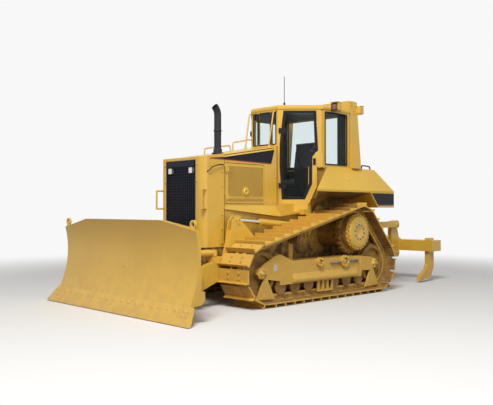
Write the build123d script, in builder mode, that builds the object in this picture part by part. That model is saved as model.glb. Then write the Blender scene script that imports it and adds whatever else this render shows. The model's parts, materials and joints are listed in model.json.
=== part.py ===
from build123d import *
from math import atan2, cos, degrees, hypot, radians, sin, tan
import os

os.makedirs("parts", exist_ok=True)

# A track-type tractor with an angling blade and a rear ripper. Sizes are in millimetres.
# Stations run forward from the front idler axle, Y runs to the machine's left, Z up from the ground.

# Reach, play and plate
FRONT_REACH = 1741.0
REAR_REACH = 4760.0
SEAT_GAP = 0.3
PIN_GAP = 0.5
RUN_GAP = 6.0
WALL = 25.0

# Tracks
TRACK_GAUGE = 1890.0
SHOE_WIDTH = 560.0
SHOE_COUNT = 40
SHOE_PLATE = 14.0
SHOE_SINK = 7.0
GROUSER_HEIGHT = 50.0
GROUSER_THICKNESS = 18.0
IDLER_SPAN = 2581.0
SPROCKET_SETBACK = 2120.0
SPROCKET_RISE = 516.0
TREAD_RADIUS = 300.0
RAIL_HEIGHT = 95.0
RAIL_WIDTH = 50.0
RAIL_CLEAR_WIDTH = 90.0

# Wheels in the tracks
IDLER_FLANGE = 22.0
ROLLER_RADIUS = 90.0
ROLLER_FLANGE = 18.0
ROLLER_COUNT = 7
FIRST_ROLLER = -390.0
LAST_ROLLER = -2190.0
CARRIER_RADIUS = 70.0
CARRIER_STATION = -830.0
TOOTH_COUNT = 23
TOOTH_HEIGHT = 30.0
HUB_RADIUS = 285.0
HUB_REACH = 190.0
HUB_LOBES = 24
FINAL_DRIVE_RADIUS = 250.0

# Track frames
BEAM_WIDTH = 290.0
BEAM_BOTTOM = 366.0
BEAM_TOP = 600.0
BEAM_FRONT = -350.0
BEAM_REAR = -2235.0
SKIRT_BOTTOM = 275.0
YOKE_PLATE = 28.0
YOKE_TIP = 110.0

# Hull
HULL_HALF = 465.0
HULL_BELLY = 430.0
HULL_NOSE = 480.0
HULL_REAR = -3120.0
GUARD_BOTTOM = 805.0
BAY_FRONT = 110.0
BAY_REAR = -900.0
BAY_FLOOR = 560.0
BAY_TOP = 1395.0
CASE_TOP = 1290.0
HULL_STEP = 20.0
CROSS_SHAFTS = ((-1000.0, 470.0, 60.0), (-1880.0, 500.0, 80.0))

# Radiator guard, grille and lamps
GUARD_REAR = 150.0
GUARD_FRONT = 550.0
GUARD_HALF = 480.0
GUARD_CORNER = 110.0
GUARD_FRONT_TOP = 2060.0
GRILLE_HALF = 330.0
GRILLE_BOTTOM = 900.0
GRILLE_TOP = 2020.0
GRILLE_DEPTH = 40.0
GRILLE_PLATE = 20.0
SLOT_PITCH = 40.0
SLOT_HEIGHT = 20.0
HEADLAMP_SIZE = 100.0
HEADLAMP_DEPTH = 16.0
HEADLAMP_Y = 230.0
HEADLAMP_Z = 1877.0
HANDLE_RADIUS = 13.0

# Hood and engine
HOOD_HALF = 470.0
HOOD_REAR = -930.0
HOOD_FRONT_TOP = 2115.0
HOOD_REAR_TOP = 2290.0
HOOD_EDGE = 45.0
HOOD_SHEET = 18.0
ENGINE_HALF = 340.0
ENGINE_TOP = 1850.0
DOOR_FRONT = 115.0
DOOR_REAR = -655.0
DOOR_BOTTOM = 1415.0
DOOR_TOP = 1985.0
HINGE_RADIUS = 11.0
STACK_STATION = 0.0
STACK_Y = 170.0
STACK_RADIUS = 52.0
STACK_TOP = 2700.0
STACK_BEND = 160.0

# Side skirts under the hood
SKIRT_OUT = 83.0
SKIRT_LOW_REAR = 1222.0
SKIRT_LOW_FRONT = 1335.0
SKIRT_FRONT = 140.0
SKIRT_REAR = -1386.0

# Cab
CAB_FRONT = -1150.0
CAB_NOSE_HALF = 290.0
CAB_HALF = 790.0
CAB_REAR = -2330.0
CAB_LOW_HALF = 620.0
CAB_BOTTOM = 1300.0
CAB_SILL = 1420.0
CAB_SHELF = 2000.0
CAB_EAVES = 2900.0
CAB_ROOF = 2965.0
ROOF_OVERHANG = 10.0
PANE = 8.0
DOOR_RIM = 42.0
DOOR_THICKNESS = 30.0
CAB_DOOR = (
    (92, 2870), (34, 2350), (34, 2000), (66, 1490), (420, 1490),
    (531, 1730), (535, 2161), (624, 2244), (597, 2870),
)
WINDSHIELD_HALF = 250.0
WINDSHIELD_BOTTOM = 2355.0
WINDSHIELD_TOP = 2865.0
MULLION_Y = 140.0
MULLION_WIDTH = 22.0
SIDE_WINDOW = (-2250.0, -1700.0, 2040.0, 2860.0)
REAR_WINDOW_HALF = 560.0
REAR_WINDOW_BOTTOM = 2060.0
REAR_WINDOW_TOP = 2860.0

# Roll bar, work lamps and antenna
ROPS_FRONT = -2345.0
ROPS_REAR = -2550.0
ROPS_INNER = 710.0
ROPS_OUTER = 860.0
ROPS_TOP = 3110.0
ROPS_BEAM = 85.0
ROPS_FOOT = 45.0
ROPS_LEAN = 90.0
WORK_LAMP = 95.0
ANTENNA_RADIUS = 5.0
ANTENNA_TOP = 3440.0

# Fenders and fuel tank
FENDER_OUTER = 1120.0
FENDER_EDGE = 1630.0
FENDER_LIP = 30.0
FENDER_DEPTH = 130.0
TANK_DEPTH = 270.0
FENDER_RISE = 370.0
FENDER_TOP_OUTER = 800.0
FENDER_FRONT_LOW = -1060.0
FENDER_FRONT_HIGH = -1670.0
FENDER_REAR_HIGH = -3000.0
FENDER_REAR_LOW = -3110.0
TANK_FRONT_HIGH = -2420.0
TANK_FRONT_LOW = -2650.0
TANK_CENTRE_FRONT = -2620.0

# Push frame and lift cylinders
TRUNNION = (-250.0, 600.0)
TRUNNION_RADIUS = 45.0
ARM_INNER = 556.0
ARM_OUTER = 655.0
LIFT_Y = 607.5
LIFT_EYE = (56.0, 1185.0)
LIFT_BASE = (-1250.0, 1080.0)
LIFT_BARREL_RADIUS = 48.0
LIFT_ROD_RADIUS = 28.5
LIFT_EYE_RADIUS = 48.0
LIFT_EYE_WIDTH = 52.0
LIFT_FORK_GAP = 67.0
LIFT_GLAND = 832.0
LIFT_ROD_LENGTH = 700.0
LIFT_PIN_RADIUS = 30.0
BEAM_BACK = 775.0
CROSS_BEAM_DEPTH = 210.0
CROSS_BEAM_HALF = 740.0
CROSS_BEAM_LOW = 205.0
CROSS_BEAM_HIGH = 530.0

# Swivel and angle cylinders
SWIVEL_STATION = 1130.0
SWIVEL_Z = 480.0
SWIVEL_RADIUS = 95.0
SWIVEL_PIN = 45.0
NOSE_RADIUS = 105.0
NOSE_PLATE = 50.0
NOSE_CLEAR = 210.0
TRUNNION_SHAFT = 65.0
YOKE_BACK = 1305.0
YOKE_FRONT = 1335.0
YOKE_HALF = 600.0
ANGLE_Z = 740.0
ANGLE_BASE = (450.0, 607.5)
ANGLE_EYE = (1240.0, 500.0)
ANGLE_BARREL_RADIUS = 45.0
ANGLE_ROD_RADIUS = 27.0
ANGLE_EYE_RADIUS = 42.0
ANGLE_EYE_WIDTH = 80.0
ANGLE_FORK_GAP = 94.0
ANGLE_GLAND = 535.0
ANGLE_ROD_LENGTH = 495.0
ANGLE_PIN_RADIUS = 25.0

# Tilt cylinder
TILT_STATION = 1382.0
TILT_BASE = (-300.0, 930.0)
TILT_EYE = (350.0, 950.0)
TILT_BARREL_RADIUS = 37.0
TILT_ROD_RADIUS = 22.0
TILT_EYE_RADIUS = 36.0
TILT_EYE_WIDTH = 36.0
TILT_GLAND = 400.0
TILT_ROD_LENGTH = 360.0
TILT_PIN_RADIUS = 22.0

# Blade
BLADE_HALF = 1500.0
BLADE_TOP = 1200.0
BLADE_END_TOP = 1076.0
BLADE_FLAT_HALF = 850.0
BLADE_SHEET = 25.0
BLADE_CURVE = ((1600.0, 215.0), (1475.0, 738.0), (1560.0, 1200.0))
BLADE_BACK = 1345.0
EDGE_TIP = 10.0
EDGE_SHEET = 28.0
END_BIT_FLARE = 137.0
END_BIT_STEP = 40.0
END_BIT_WIDTH = 237.0
END_PLATE_BACK = 1437.0
RIB_BACK = 1380.0
RIB_SHARES = (0.45, 0.7, 0.9)
EYE_RADIUS = 52.0
EYE_BORE = 30.0
EYE_INSET = 70.0
EYE_STATION = 1497.0
EYE_PLATE = 28.0

# Ripper
RIPPER_FRONT = -3300.0
RIPPER_BACK = -4280.0
LINK_LOW = 520.0
LINK_HIGH = 1050.0
LINK_INNER = 350.0
LINK_OUTER = 420.0
LINK_PIN_RADIUS = 35.0
LINK_EYE_RADIUS = 75.0
LINK_BAR = 110.0
MOUNT_INNER = 262.0
MOUNT_OUTER = 344.0
MOUNT_LUG = 150.0
RIP_Y = 215.0
RIP_BASE = (-3420.0, 1050.0)
RIP_EYE = (-4200.0, 600.0)
RIP_BARREL_RADIUS = 42.0
RIP_ROD_RADIUS = 25.0
RIP_EYE_RADIUS = 45.0
RIP_EYE_WIDTH = 60.0
RIP_GLAND = 600.0
RIP_ROD_LENGTH = 575.0
RIP_PIN_RADIUS = 28.0
RIP_BEAM_LOW = 560.0
RIP_BEAM_HIGH = 760.0
RIP_BEAM_DEPTH = 310.0
RIP_BEAM_HALF = 1050.0
SHANK_PLACES = (-900.0, 0.0, 900.0)
SHANK_THICKNESS = 75.0
SHANK_WIDTH = 190.0
SHANK_TOP = 800.0
SHANK_TIP = 30.0
SHANK_LEAD = 330.0

# Worked out from the sizes above
IDLER_X = (REAR_REACH - FRONT_REACH) / 2
FENDER_TOP = FENDER_EDGE + FENDER_RISE
SHOE_INNER_RADIUS = TREAD_RADIUS + RAIL_HEIGHT
SHOE_OUTER_RADIUS = SHOE_INNER_RADIUS + SHOE_PLATE
IDLER_Z = SHOE_OUTER_RADIUS + GROUSER_HEIGHT
PITCH_RADIUS = TREAD_RADIUS + RAIL_HEIGHT / 2
SPROCKET_Z = IDLER_Z + SPROCKET_RISE
TRACK_Y = TRACK_GAUGE / 2
RAIL_TOP = IDLER_Z - TREAD_RADIUS
RAIL_INNER = RAIL_CLEAR_WIDTH / 2
RAIL_OUTER = RAIL_INNER + RAIL_WIDTH
LOOP = ((0.0, IDLER_Z), (-SPROCKET_SETBACK, SPROCKET_Z), (-IDLER_SPAN, IDLER_Z))


def side_plane(y):
    """Plane seen from the right, with stations across and heights up, that extrudes to the right."""
    return Plane(origin=(IDLER_X, y, 0), x_dir=(1, 0, 0), z_dir=(0, -1, 0))


def front_plane(station):
    """Plane seen from the front, with Y across and heights up, that extrudes forward."""
    return Plane(origin=(IDLER_X + station, 0, 0), x_dir=(0, 1, 0), z_dir=(1, 0, 0))


def plan_plane(z):
    """Plane seen from above, with stations across and Y up, that extrudes upward."""
    return Plane(origin=(IDLER_X, 0, z), x_dir=(1, 0, 0), z_dir=(0, 0, 1))


def outline(plane, points):
    """Closed face through the points, drawn on the plane."""
    with BuildSketch(plane) as face:
        with BuildLine():
            Polyline(*points, close=True)
        make_face()
    return face.sketch


def side_plate(points, inner, outer, mode=Mode.ADD):
    """Prism of a side outline between two Y places."""
    extrude(outline(side_plane(outer), points), amount=outer - inner, mode=mode)


def front_plate(points, rear, front, mode=Mode.ADD):
    """Prism of a front outline between two stations."""
    extrude(outline(front_plane(rear), points), amount=front - rear, mode=mode)


def plan_plate(points, bottom, top, mode=Mode.ADD):
    """Prism of a plan outline between two heights."""
    extrude(outline(plan_plane(bottom), points), amount=top - bottom, mode=mode)


def block(stations, ys, zs, mode=Mode.ADD):
    """Box between two stations, two Y places and two heights."""
    centre = (IDLER_X + sum(stations) / 2, sum(ys) / 2, sum(zs) / 2)
    with Locations(centre):
        Box(abs(stations[1] - stations[0]), abs(ys[1] - ys[0]), abs(zs[1] - zs[0]), mode=mode)


def bar(start, end, radius, mode=Mode.ADD):
    """Round bar between two points given as station, Y and height."""
    first = Vector(IDLER_X + start[0], start[1], start[2])
    last = Vector(IDLER_X + end[0], end[1], end[2])
    along = last - first
    with Locations(Plane(origin=first, z_dir=along)):
        Cylinder(radius, along.length, align=(Align.CENTER, Align.CENTER, Align.MIN), mode=mode)


def cross_bar(place, inner, outer, radius, mode=Mode.ADD):
    """Round bar across the machine, at a station and height."""
    bar((place[0], inner, place[1]), (place[0], outer, place[1]), radius, mode)


def opposite(piece):
    """The same piece on the other side of the machine."""
    with BuildPart() as twin:
        mirror(piece.part, about=Plane.XZ)
    return twin


def save(piece, name):
    """Label a finished piece and write it."""
    piece.part.label = name
    export_step(piece.part, f"parts/{name}.step")


def save_pair(piece, name):
    """Write a left piece and its right twin."""
    save(piece, f"{name}_left")
    save(opposite(piece), f"{name}_right")


def reach(start, end, length):
    """Point at a length from start along the line to end."""
    first, last = Vector(*start), Vector(*end)
    return tuple(first + (last - first).normalized() * length)


# Tracks: shoes with grousers, fused to the two chain rails that carry them
def shoe_places():
    """Points of the idler and sprocket triangle with the chain's heading, one for each shoe."""
    corners = [Vector(*corner) for corner in LOOP]
    runs = list(zip(corners, corners[1:] + corners[:1]))
    headings = [degrees(atan2((end - start).Y, (end - start).X)) for start, end in runs]
    stretches = []
    for number, (start, end) in enumerate(runs):
        turn = (headings[(number + 1) % len(runs)] - headings[number]) % 360
        stretches.append((start, headings[number], (end - start).length, 0.0))
        stretches.append((end, headings[number], PITCH_RADIUS * radians(turn), turn))
    pitch = sum(stretch[2] for stretch in stretches) / SHOE_COUNT
    places = []
    begun = 0.0
    for corner, heading, length, turn in stretches:
        while len(places) < SHOE_COUNT and (len(places) + 0.5) * pitch < begun + length:
            along = (len(places) + 0.5) * pitch - begun
            if turn:
                places.append((corner, heading + turn * along / length))
            else:
                ahead = Vector(cos(radians(heading)), sin(radians(heading)))
                places.append((corner + ahead * along, heading))
        begun += length
    return places, pitch


SHOE_PLACES, SHOE_PITCH = shoe_places()
SHOE_HALF = SHOE_PITCH / 2 - 2.0
SHOE = (
    (-SHOE_HALF, SHOE_SINK - SHOE_INNER_RADIUS),
    (SHOE_HALF, SHOE_SINK - SHOE_INNER_RADIUS),
    (SHOE_HALF, -SHOE_OUTER_RADIUS),
    (GROUSER_THICKNESS - SHOE_HALF, -SHOE_OUTER_RADIUS),
    (GROUSER_THICKNESS * 0.7 - SHOE_HALF, -IDLER_Z),
    (GROUSER_THICKNESS * 0.1 - SHOE_HALF, -IDLER_Z),
)


def rail(outer):
    """One chain rail around the idlers and the sprocket."""
    with BuildSketch(side_plane(outer)) as ring:
        with BuildLine():
            Polyline(*LOOP, close=True)
        triangle = make_face(mode=Mode.PRIVATE)
        offset(triangle, amount=SHOE_INNER_RADIUS, mode=Mode.ADD)
        offset(triangle, amount=TREAD_RADIUS, mode=Mode.SUBTRACT)
    extrude(ring.sketch, amount=RAIL_WIDTH)


with BuildPart() as track:
    rail(TRACK_Y + RAIL_OUTER)
    rail(TRACK_Y - RAIL_INNER)
    with BuildSketch(side_plane(TRACK_Y + SHOE_WIDTH / 2)) as shoes:
        for place, heading in SHOE_PLACES:
            with Locations(Location((place.X, place.Y, 0), heading)):
                Polygon(*SHOE, align=None)
    extrude(amount=SHOE_WIDTH)
save_pair(track, "track")

# Idlers, track rollers and carrier roller of one track
ROLLER_Z = RAIL_TOP + ROLLER_RADIUS + PIN_GAP
ROLLER_STEP = (LAST_ROLLER - FIRST_ROLLER) / (ROLLER_COUNT - 1)
YOKE_INNER = BEAM_WIDTH / 2 - YOKE_PLATE
UPPER_RUN = atan2(SPROCKET_RISE, SPROCKET_SETBACK)
CARRIER_RISE = (TREAD_RADIUS - CARRIER_RADIUS - PIN_GAP) / cos(UPPER_RUN)
CARRIER_Z = IDLER_Z - CARRIER_STATION * tan(UPPER_RUN) + CARRIER_RISE
CARRIER_PLATE = 34.0
WHEEL_HALF = RAIL_OUTER + 3.0

with BuildPart() as wheels:
    for idler in (0.0, -IDLER_SPAN):
        axle = (idler, IDLER_Z)
        cross_bar(axle, TRACK_Y - WHEEL_HALF, TRACK_Y + WHEEL_HALF, TREAD_RADIUS - PIN_GAP)
        cross_bar(axle, TRACK_Y - RAIL_INNER + RUN_GAP, TRACK_Y + RAIL_INNER - RUN_GAP,
                  TREAD_RADIUS + IDLER_FLANGE)
        for face, inside in ((WHEEL_HALF, WHEEL_HALF - 45), (-WHEEL_HALF, 45 - WHEEL_HALF)):
            cross_bar(axle, TRACK_Y + inside, TRACK_Y + face, TREAD_RADIUS * 0.82, Mode.SUBTRACT)
        cross_bar(axle, TRACK_Y - YOKE_INNER + SEAT_GAP, TRACK_Y + YOKE_INNER - SEAT_GAP, TREAD_RADIUS * 0.3)
    for number in range(ROLLER_COUNT):
        axle = (FIRST_ROLLER + number * ROLLER_STEP, ROLLER_Z)
        cross_bar(axle, TRACK_Y - WHEEL_HALF, TRACK_Y + WHEEL_HALF, ROLLER_RADIUS)
        for side in (-1, 1):
            flange = sorted((TRACK_Y + side * WHEEL_HALF, TRACK_Y + side * (WHEEL_HALF + 16)))
            cross_bar(axle, flange[0], flange[1], ROLLER_RADIUS + ROLLER_FLANGE)
    axle = (CARRIER_STATION, CARRIER_Z)
    cross_bar(axle, TRACK_Y - RAIL_OUTER + SEAT_GAP, TRACK_Y + WHEEL_HALF, CARRIER_RADIUS)
    cross_bar(axle, TRACK_Y + WHEEL_HALF, TRACK_Y + WHEEL_HALF + 18, CARRIER_RADIUS * 0.6)
save_pair(wheels, "wheels")

# Track frame: beam with roller skirts, idler yokes, guide plates and caps
GUIDE_BOTTOM = RAIL_TOP - RAIL_HEIGHT + SHOE_SINK + 24.0
BEAM_INNER = TRACK_Y - BEAM_WIDTH / 2
BEAM_OUTER = TRACK_Y + BEAM_WIDTH / 2
FRONT_YOKE = (
    (BEAM_FRONT - 270, BEAM_TOP), (BEAM_FRONT, BEAM_TOP + 105), (BEAM_FRONT + 100, BEAM_TOP + 90),
    (YOKE_TIP * 0.55, IDLER_Z + 75), (YOKE_TIP, IDLER_Z), (YOKE_TIP * 0.55, IDLER_Z - 65),
    (BEAM_FRONT, SKIRT_BOTTOM + 55), (BEAM_FRONT - 270, BEAM_BOTTOM),
)
REAR_YOKE = (
    (BEAM_REAR + 60, BEAM_TOP), (BEAM_REAR - 245, BEAM_TOP - 30),
    (-IDLER_SPAN - YOKE_TIP * 0.55, IDLER_Z + 60),
    (-IDLER_SPAN - YOKE_TIP, IDLER_Z), (-IDLER_SPAN - YOKE_TIP * 0.55, IDLER_Z - 60),
    (BEAM_REAR - 245, BEAM_BOTTOM - 10), (BEAM_REAR + 60, BEAM_BOTTOM),
)
FRONT_GUIDE = ((-60, IDLER_Z - 20), (110, GUIDE_BOTTOM + 15), (-240, GUIDE_BOTTOM))
REAR_GUIDE = tuple((-IDLER_SPAN - station, z) for station, z in FRONT_GUIDE)
CAPS = ((-1180.0, 66.0), (-1780.0, 92.0))
CAP_REACH = 40.0
CENTRE_GUARD = (-1500.0, -1180.0)
GUARD_BARS = 4

with BuildPart() as track_frame:
    block((BEAM_REAR, BEAM_FRONT), (BEAM_INNER, BEAM_OUTER), (BEAM_BOTTOM, BEAM_TOP))
    for wall in (BEAM_INNER, BEAM_OUTER - YOKE_PLATE):
        block((BEAM_REAR, BEAM_FRONT), (wall, wall + YOKE_PLATE), (SKIRT_BOTTOM, BEAM_BOTTOM))
        for plate in (FRONT_YOKE, REAR_YOKE, FRONT_GUIDE, REAR_GUIDE):
            side_plate(plate, wall, wall + YOKE_PLATE)
    for station, radius in CAPS:
        cap = (station, BEAM_TOP - radius * 0.7)
        cross_bar(cap, BEAM_OUTER - 5, BEAM_OUTER + CAP_REACH, radius)
        cross_bar(cap, BEAM_OUTER + CAP_REACH / 2, BEAM_OUTER + CAP_REACH, radius * 0.6, Mode.SUBTRACT)
    guard_step = (CENTRE_GUARD[1] - CENTRE_GUARD[0]) / (GUARD_BARS - 1)
    for number in range(GUARD_BARS):
        centre = CENTRE_GUARD[0] + number * guard_step
        block((centre - 18, centre + 18), (BEAM_OUTER - YOKE_PLATE, BEAM_OUTER),
              (GUIDE_BOTTOM + 20, SKIRT_BOTTOM))
    block((CENTRE_GUARD[0] - 18, CENTRE_GUARD[1] + 18), (BEAM_OUTER - YOKE_PLATE, BEAM_OUTER),
          (GUIDE_BOTTOM + 20, GUIDE_BOTTOM + 50))
    block((CARRIER_STATION - 45, CARRIER_STATION + 45),
          (TRACK_Y - RAIL_OUTER - CARRIER_PLATE, TRACK_Y - RAIL_OUTER), (BEAM_TOP - 10, CARRIER_Z + 40))
save_pair(track_frame, "track_frame")

# Final drive, toothed sprocket and scalloped hub
SPROCKET = (-SPROCKET_SETBACK, SPROCKET_Z)
TOOTH_TIP = PITCH_RADIUS
TOOTH_ROOT = TOOTH_TIP - TOOTH_HEIGHT
TOOTH_TURN = 360 / TOOTH_COUNT
TOOTH_HALF = RAIL_INNER - RUN_GAP
TOOTH_EDGES = ((-0.5, TOOTH_ROOT), (-0.28, TOOTH_ROOT), (-0.14, TOOTH_TIP), (0.14, TOOTH_TIP),
               (0.28, TOOTH_ROOT))


def gear_points():
    """Corners of the toothed ring around the sprocket's axle."""
    points = []
    for tooth in range(TOOTH_COUNT):
        for share, radius in TOOTH_EDGES:
            angle = radians((tooth + share) * TOOTH_TURN)
            points.append((SPROCKET[0] + radius * cos(angle), SPROCKET[1] + radius * sin(angle)))
    return points


with BuildPart() as sprocket:
    side_plate(gear_points(), TRACK_Y - TOOTH_HALF, TRACK_Y + TOOTH_HALF)
    cross_bar(SPROCKET, HULL_HALF + SEAT_GAP, TRACK_Y, FINAL_DRIVE_RADIUS)
    cross_bar(SPROCKET, TRACK_Y, TRACK_Y + HUB_REACH - 45, HUB_RADIUS)
    with BuildSketch(side_plane(TRACK_Y + HUB_REACH - 20)) as scallops:
        with Locations(SPROCKET):
            Circle(HUB_RADIUS - 12)
            with PolarLocations(HUB_RADIUS - 12, HUB_LOBES):
                Circle(15)
    extrude(amount=40)
    cross_bar(SPROCKET, TRACK_Y, TRACK_Y + HUB_REACH, HUB_RADIUS * 0.62)
    cross_bar(SPROCKET, TRACK_Y + HUB_REACH - 12, TRACK_Y + HUB_REACH, HUB_RADIUS * 0.45, Mode.SUBTRACT)
save_pair(sprocket, "sprocket")

# Main frame: hull with an open engine bay, trunnions, cylinder lugs and the shafts to the track frames
TRUNNION_BOSS = 130.0
LUG_INNER = LIFT_Y - LIFT_FORK_GAP / 2 - 4
HULL = (
    (HULL_NOSE, GUARD_BOTTOM - SEAT_GAP), (HULL_NOSE, BAY_FLOOR), (HULL_NOSE - 150, HULL_BELLY),
    (HULL_REAR + 160, HULL_BELLY), (HULL_REAR, BAY_FLOOR), (HULL_REAR, CASE_TOP - 20),
    (HOOD_REAR - HULL_STEP + SEAT_GAP, CASE_TOP), (HOOD_REAR - HULL_STEP + SEAT_GAP, BAY_TOP),
    (GUARD_REAR - SEAT_GAP, BAY_TOP),
    (GUARD_REAR - SEAT_GAP, GUARD_BOTTOM - SEAT_GAP),
)

with BuildPart() as main_frame:
    side_plate(HULL, -HULL_HALF, HULL_HALF)
    block((BAY_REAR, BAY_FRONT), (-HULL_HALF + 60, HULL_HALF - 60), (BAY_FLOOR, BAY_TOP + 10), Mode.SUBTRACT)
    for side in (-1, 1):
        cross_bar(TRUNNION, side * (HULL_HALF - 5), side * (ARM_INNER - RUN_GAP), TRUNNION_BOSS)
        cross_bar(TRUNNION, side * HULL_HALF, side * ARM_OUTER, TRUNNION_RADIUS)
        cross_bar(LIFT_BASE, side * (HULL_HALF - 5), side * LUG_INNER, LIFT_EYE_RADIUS + 12)
        cross_bar(LIFT_BASE, side * HULL_HALF, side * (LIFT_Y + LIFT_FORK_GAP / 2), LIFT_PIN_RADIUS)
        for station, z, radius in CROSS_SHAFTS:
            cross_bar((station, z), side * (HULL_HALF - 5), side * (BEAM_INNER - SEAT_GAP), radius)
save(main_frame, "main_frame")

with BuildPart() as engine_block:
    block((BAY_REAR + 40, BAY_FRONT - 50), (-ENGINE_HALF, ENGINE_HALF), (BAY_FLOOR + SEAT_GAP, ENGINE_TOP))
save(engine_block, "engine_block")

# Sloped skirts along the engine bay, tapering out of the wall towards the front, and a ledge under the cab
SKIRT_INNER = HULL_HALF + SEAT_GAP
SKIRT_OUTER = HULL_HALF + SKIRT_OUT
LEDGE_TOP = CAB_BOTTOM - SEAT_GAP

with BuildPart() as side_skirts:
    rear_face = outline(front_plane(HOOD_REAR), (
        (SKIRT_INNER, BAY_TOP), (SKIRT_OUTER, SKIRT_LOW_REAR), (SKIRT_INNER, SKIRT_LOW_REAR)))
    front_face = outline(front_plane(SKIRT_FRONT), (
        (SKIRT_INNER, BAY_TOP), (HULL_HALF + SKIRT_OUT * 0.2, SKIRT_LOW_FRONT),
        (SKIRT_INNER, SKIRT_LOW_FRONT)))
    loft(sections=(rear_face.face(), front_face.face()), ruled=True)
    ledge_front = outline(front_plane(HOOD_REAR), (
        (SKIRT_INNER, LEDGE_TOP), (SKIRT_OUTER, LEDGE_TOP), (SKIRT_OUTER, SKIRT_LOW_REAR),
        (SKIRT_INNER, SKIRT_LOW_REAR)))
    ledge_rear = outline(front_plane(SKIRT_REAR), (
        (SKIRT_INNER, LEDGE_TOP), (SKIRT_OUTER, LEDGE_TOP), (SKIRT_OUTER, LEDGE_TOP - WALL),
        (SKIRT_INNER, LEDGE_TOP - 2 * WALL)))
    loft(sections=(ledge_rear.face(), ledge_front.face()), ruled=True)
    mirror(about=Plane.XZ)
save(side_skirts, "side_skirts")

# Radiator guard with rounded front corners, a sloped top, the grille's recess and two grab handles
GUARD_REAR_TOP = HOOD_FRONT_TOP
GUARD_SLOPE = ((GUARD_REAR - 10, GUARD_REAR_TOP), (GUARD_FRONT + 200, GUARD_FRONT_TOP - 30),
               (GUARD_FRONT + 200, GUARD_REAR_TOP + 200), (GUARD_REAR - 10, GUARD_REAR_TOP + 200))
HANDLE_LOW = 1340.0
HANDLE_HIGH = 1600.0
HANDLE_STATION = GUARD_FRONT + 40
HANDLE_Y = GUARD_HALF + 30

with BuildPart() as radiator_guard:
    with BuildSketch(plan_plane(GUARD_BOTTOM)):
        with Locations(((GUARD_REAR + GUARD_FRONT) / 2, 0)):
            front = Rectangle(GUARD_FRONT - GUARD_REAR, 2 * GUARD_HALF)
        fillet(front.vertices().group_by(Axis.X)[-1], GUARD_CORNER)
    extrude(amount=GUARD_REAR_TOP - GUARD_BOTTOM)
    side_plate(GUARD_SLOPE, -GUARD_HALF - 50, GUARD_HALF + 50, Mode.SUBTRACT)
    block((GUARD_FRONT - GRILLE_DEPTH, GUARD_FRONT + 50), (-GRILLE_HALF, GRILLE_HALF),
          (GRILLE_BOTTOM, GRILLE_TOP), Mode.SUBTRACT)
    for side in (-1, 1):
        outer = side * HANDLE_Y
        bar((HANDLE_STATION, outer, HANDLE_LOW), (HANDLE_STATION, outer, HANDLE_HIGH), HANDLE_RADIUS)
        for z in (HANDLE_LOW, HANDLE_HIGH):
            bar((HANDLE_STATION, outer, z), (GUARD_FRONT - GUARD_CORNER, outer - side * 60, z), HANDLE_RADIUS)
            with Locations((IDLER_X + HANDLE_STATION, outer, z)):
                Sphere(HANDLE_RADIUS)
save(radiator_guard, "radiator_guard")

SLOT_COUNT = int((GRILLE_TOP - GRILLE_BOTTOM - SLOT_PITCH) / SLOT_PITCH)
GRILLE_FRONT = GUARD_FRONT - 8
GRILLE_MIDDLE = (GRILLE_BOTTOM + GRILLE_TOP) / 2

with BuildPart() as grille:
    block((GRILLE_FRONT - GRILLE_PLATE, GRILLE_FRONT), (SEAT_GAP - GRILLE_HALF, GRILLE_HALF - SEAT_GAP),
          (GRILLE_BOTTOM + SEAT_GAP, GRILLE_TOP - SEAT_GAP))
    with BuildSketch(front_plane(GRILLE_FRONT)) as slots:
        with Locations((0, GRILLE_MIDDLE)):
            with GridLocations(0, SLOT_PITCH, 1, SLOT_COUNT):
                Rectangle(2 * GRILLE_HALF - 50, SLOT_HEIGHT)
    extrude(amount=-GRILLE_PLATE, mode=Mode.SUBTRACT)
    block((GRILLE_FRONT - GRILLE_PLATE, GRILLE_FRONT),
          (HEADLAMP_Y - HEADLAMP_SIZE / 2, HEADLAMP_Y + HEADLAMP_SIZE / 2),
          (HEADLAMP_Z - HEADLAMP_SIZE / 2, HEADLAMP_Z + HEADLAMP_SIZE / 2))
    block((GRILLE_FRONT - GRILLE_PLATE, GRILLE_FRONT),
          (-HEADLAMP_Y - HEADLAMP_SIZE / 2, HEADLAMP_SIZE / 2 - HEADLAMP_Y),
          (HEADLAMP_Z - HEADLAMP_SIZE / 2, HEADLAMP_Z + HEADLAMP_SIZE / 2))
save(grille, "grille")

with BuildPart() as head_lamps:
    with BuildSketch(front_plane(GRILLE_FRONT + SEAT_GAP)):
        with Locations((HEADLAMP_Y, HEADLAMP_Z), (-HEADLAMP_Y, HEADLAMP_Z)):
            RectangleRounded(HEADLAMP_SIZE, HEADLAMP_SIZE, HEADLAMP_SIZE * 0.15)
    extrude(amount=HEADLAMP_DEPTH)
save(head_lamps, "head_lamps")

# Hood: a sloped shell over the engine, with door openings at its sides and a hole for the stack
HOOD_FRONT = GUARD_REAR - SEAT_GAP
HOOD_OUTSIDE = ((HOOD_FRONT, BAY_TOP + SEAT_GAP), (HOOD_FRONT, HOOD_FRONT_TOP), (HOOD_REAR, HOOD_REAR_TOP),
                (HOOD_REAR, BAY_TOP + SEAT_GAP))
HOOD_INSIDE = ((HOOD_FRONT + 10, BAY_TOP - 10), (HOOD_FRONT + 10, HOOD_FRONT_TOP - HOOD_SHEET),
               (HOOD_REAR + HOOD_SHEET, HOOD_REAR_TOP - HOOD_SHEET), (HOOD_REAR + HOOD_SHEET, BAY_TOP - 10))
DOOR_PLAY = 8.0
ENGINE_HINGE = (DOOR_FRONT, HOOD_HALF + HINGE_RADIUS + 1)
ENGINE_HINGE_HEIGHTS = (DOOR_BOTTOM + 90, DOOR_TOP - 90)
KNUCKLE = 35.0
KNUCKLE_PLAY = 2.0
HINGE_PIN = 5.0
HOOD_LEAF = HOOD_FRONT - DOOR_FRONT - 3.0
DOOR_LEAF = 60.0

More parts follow.
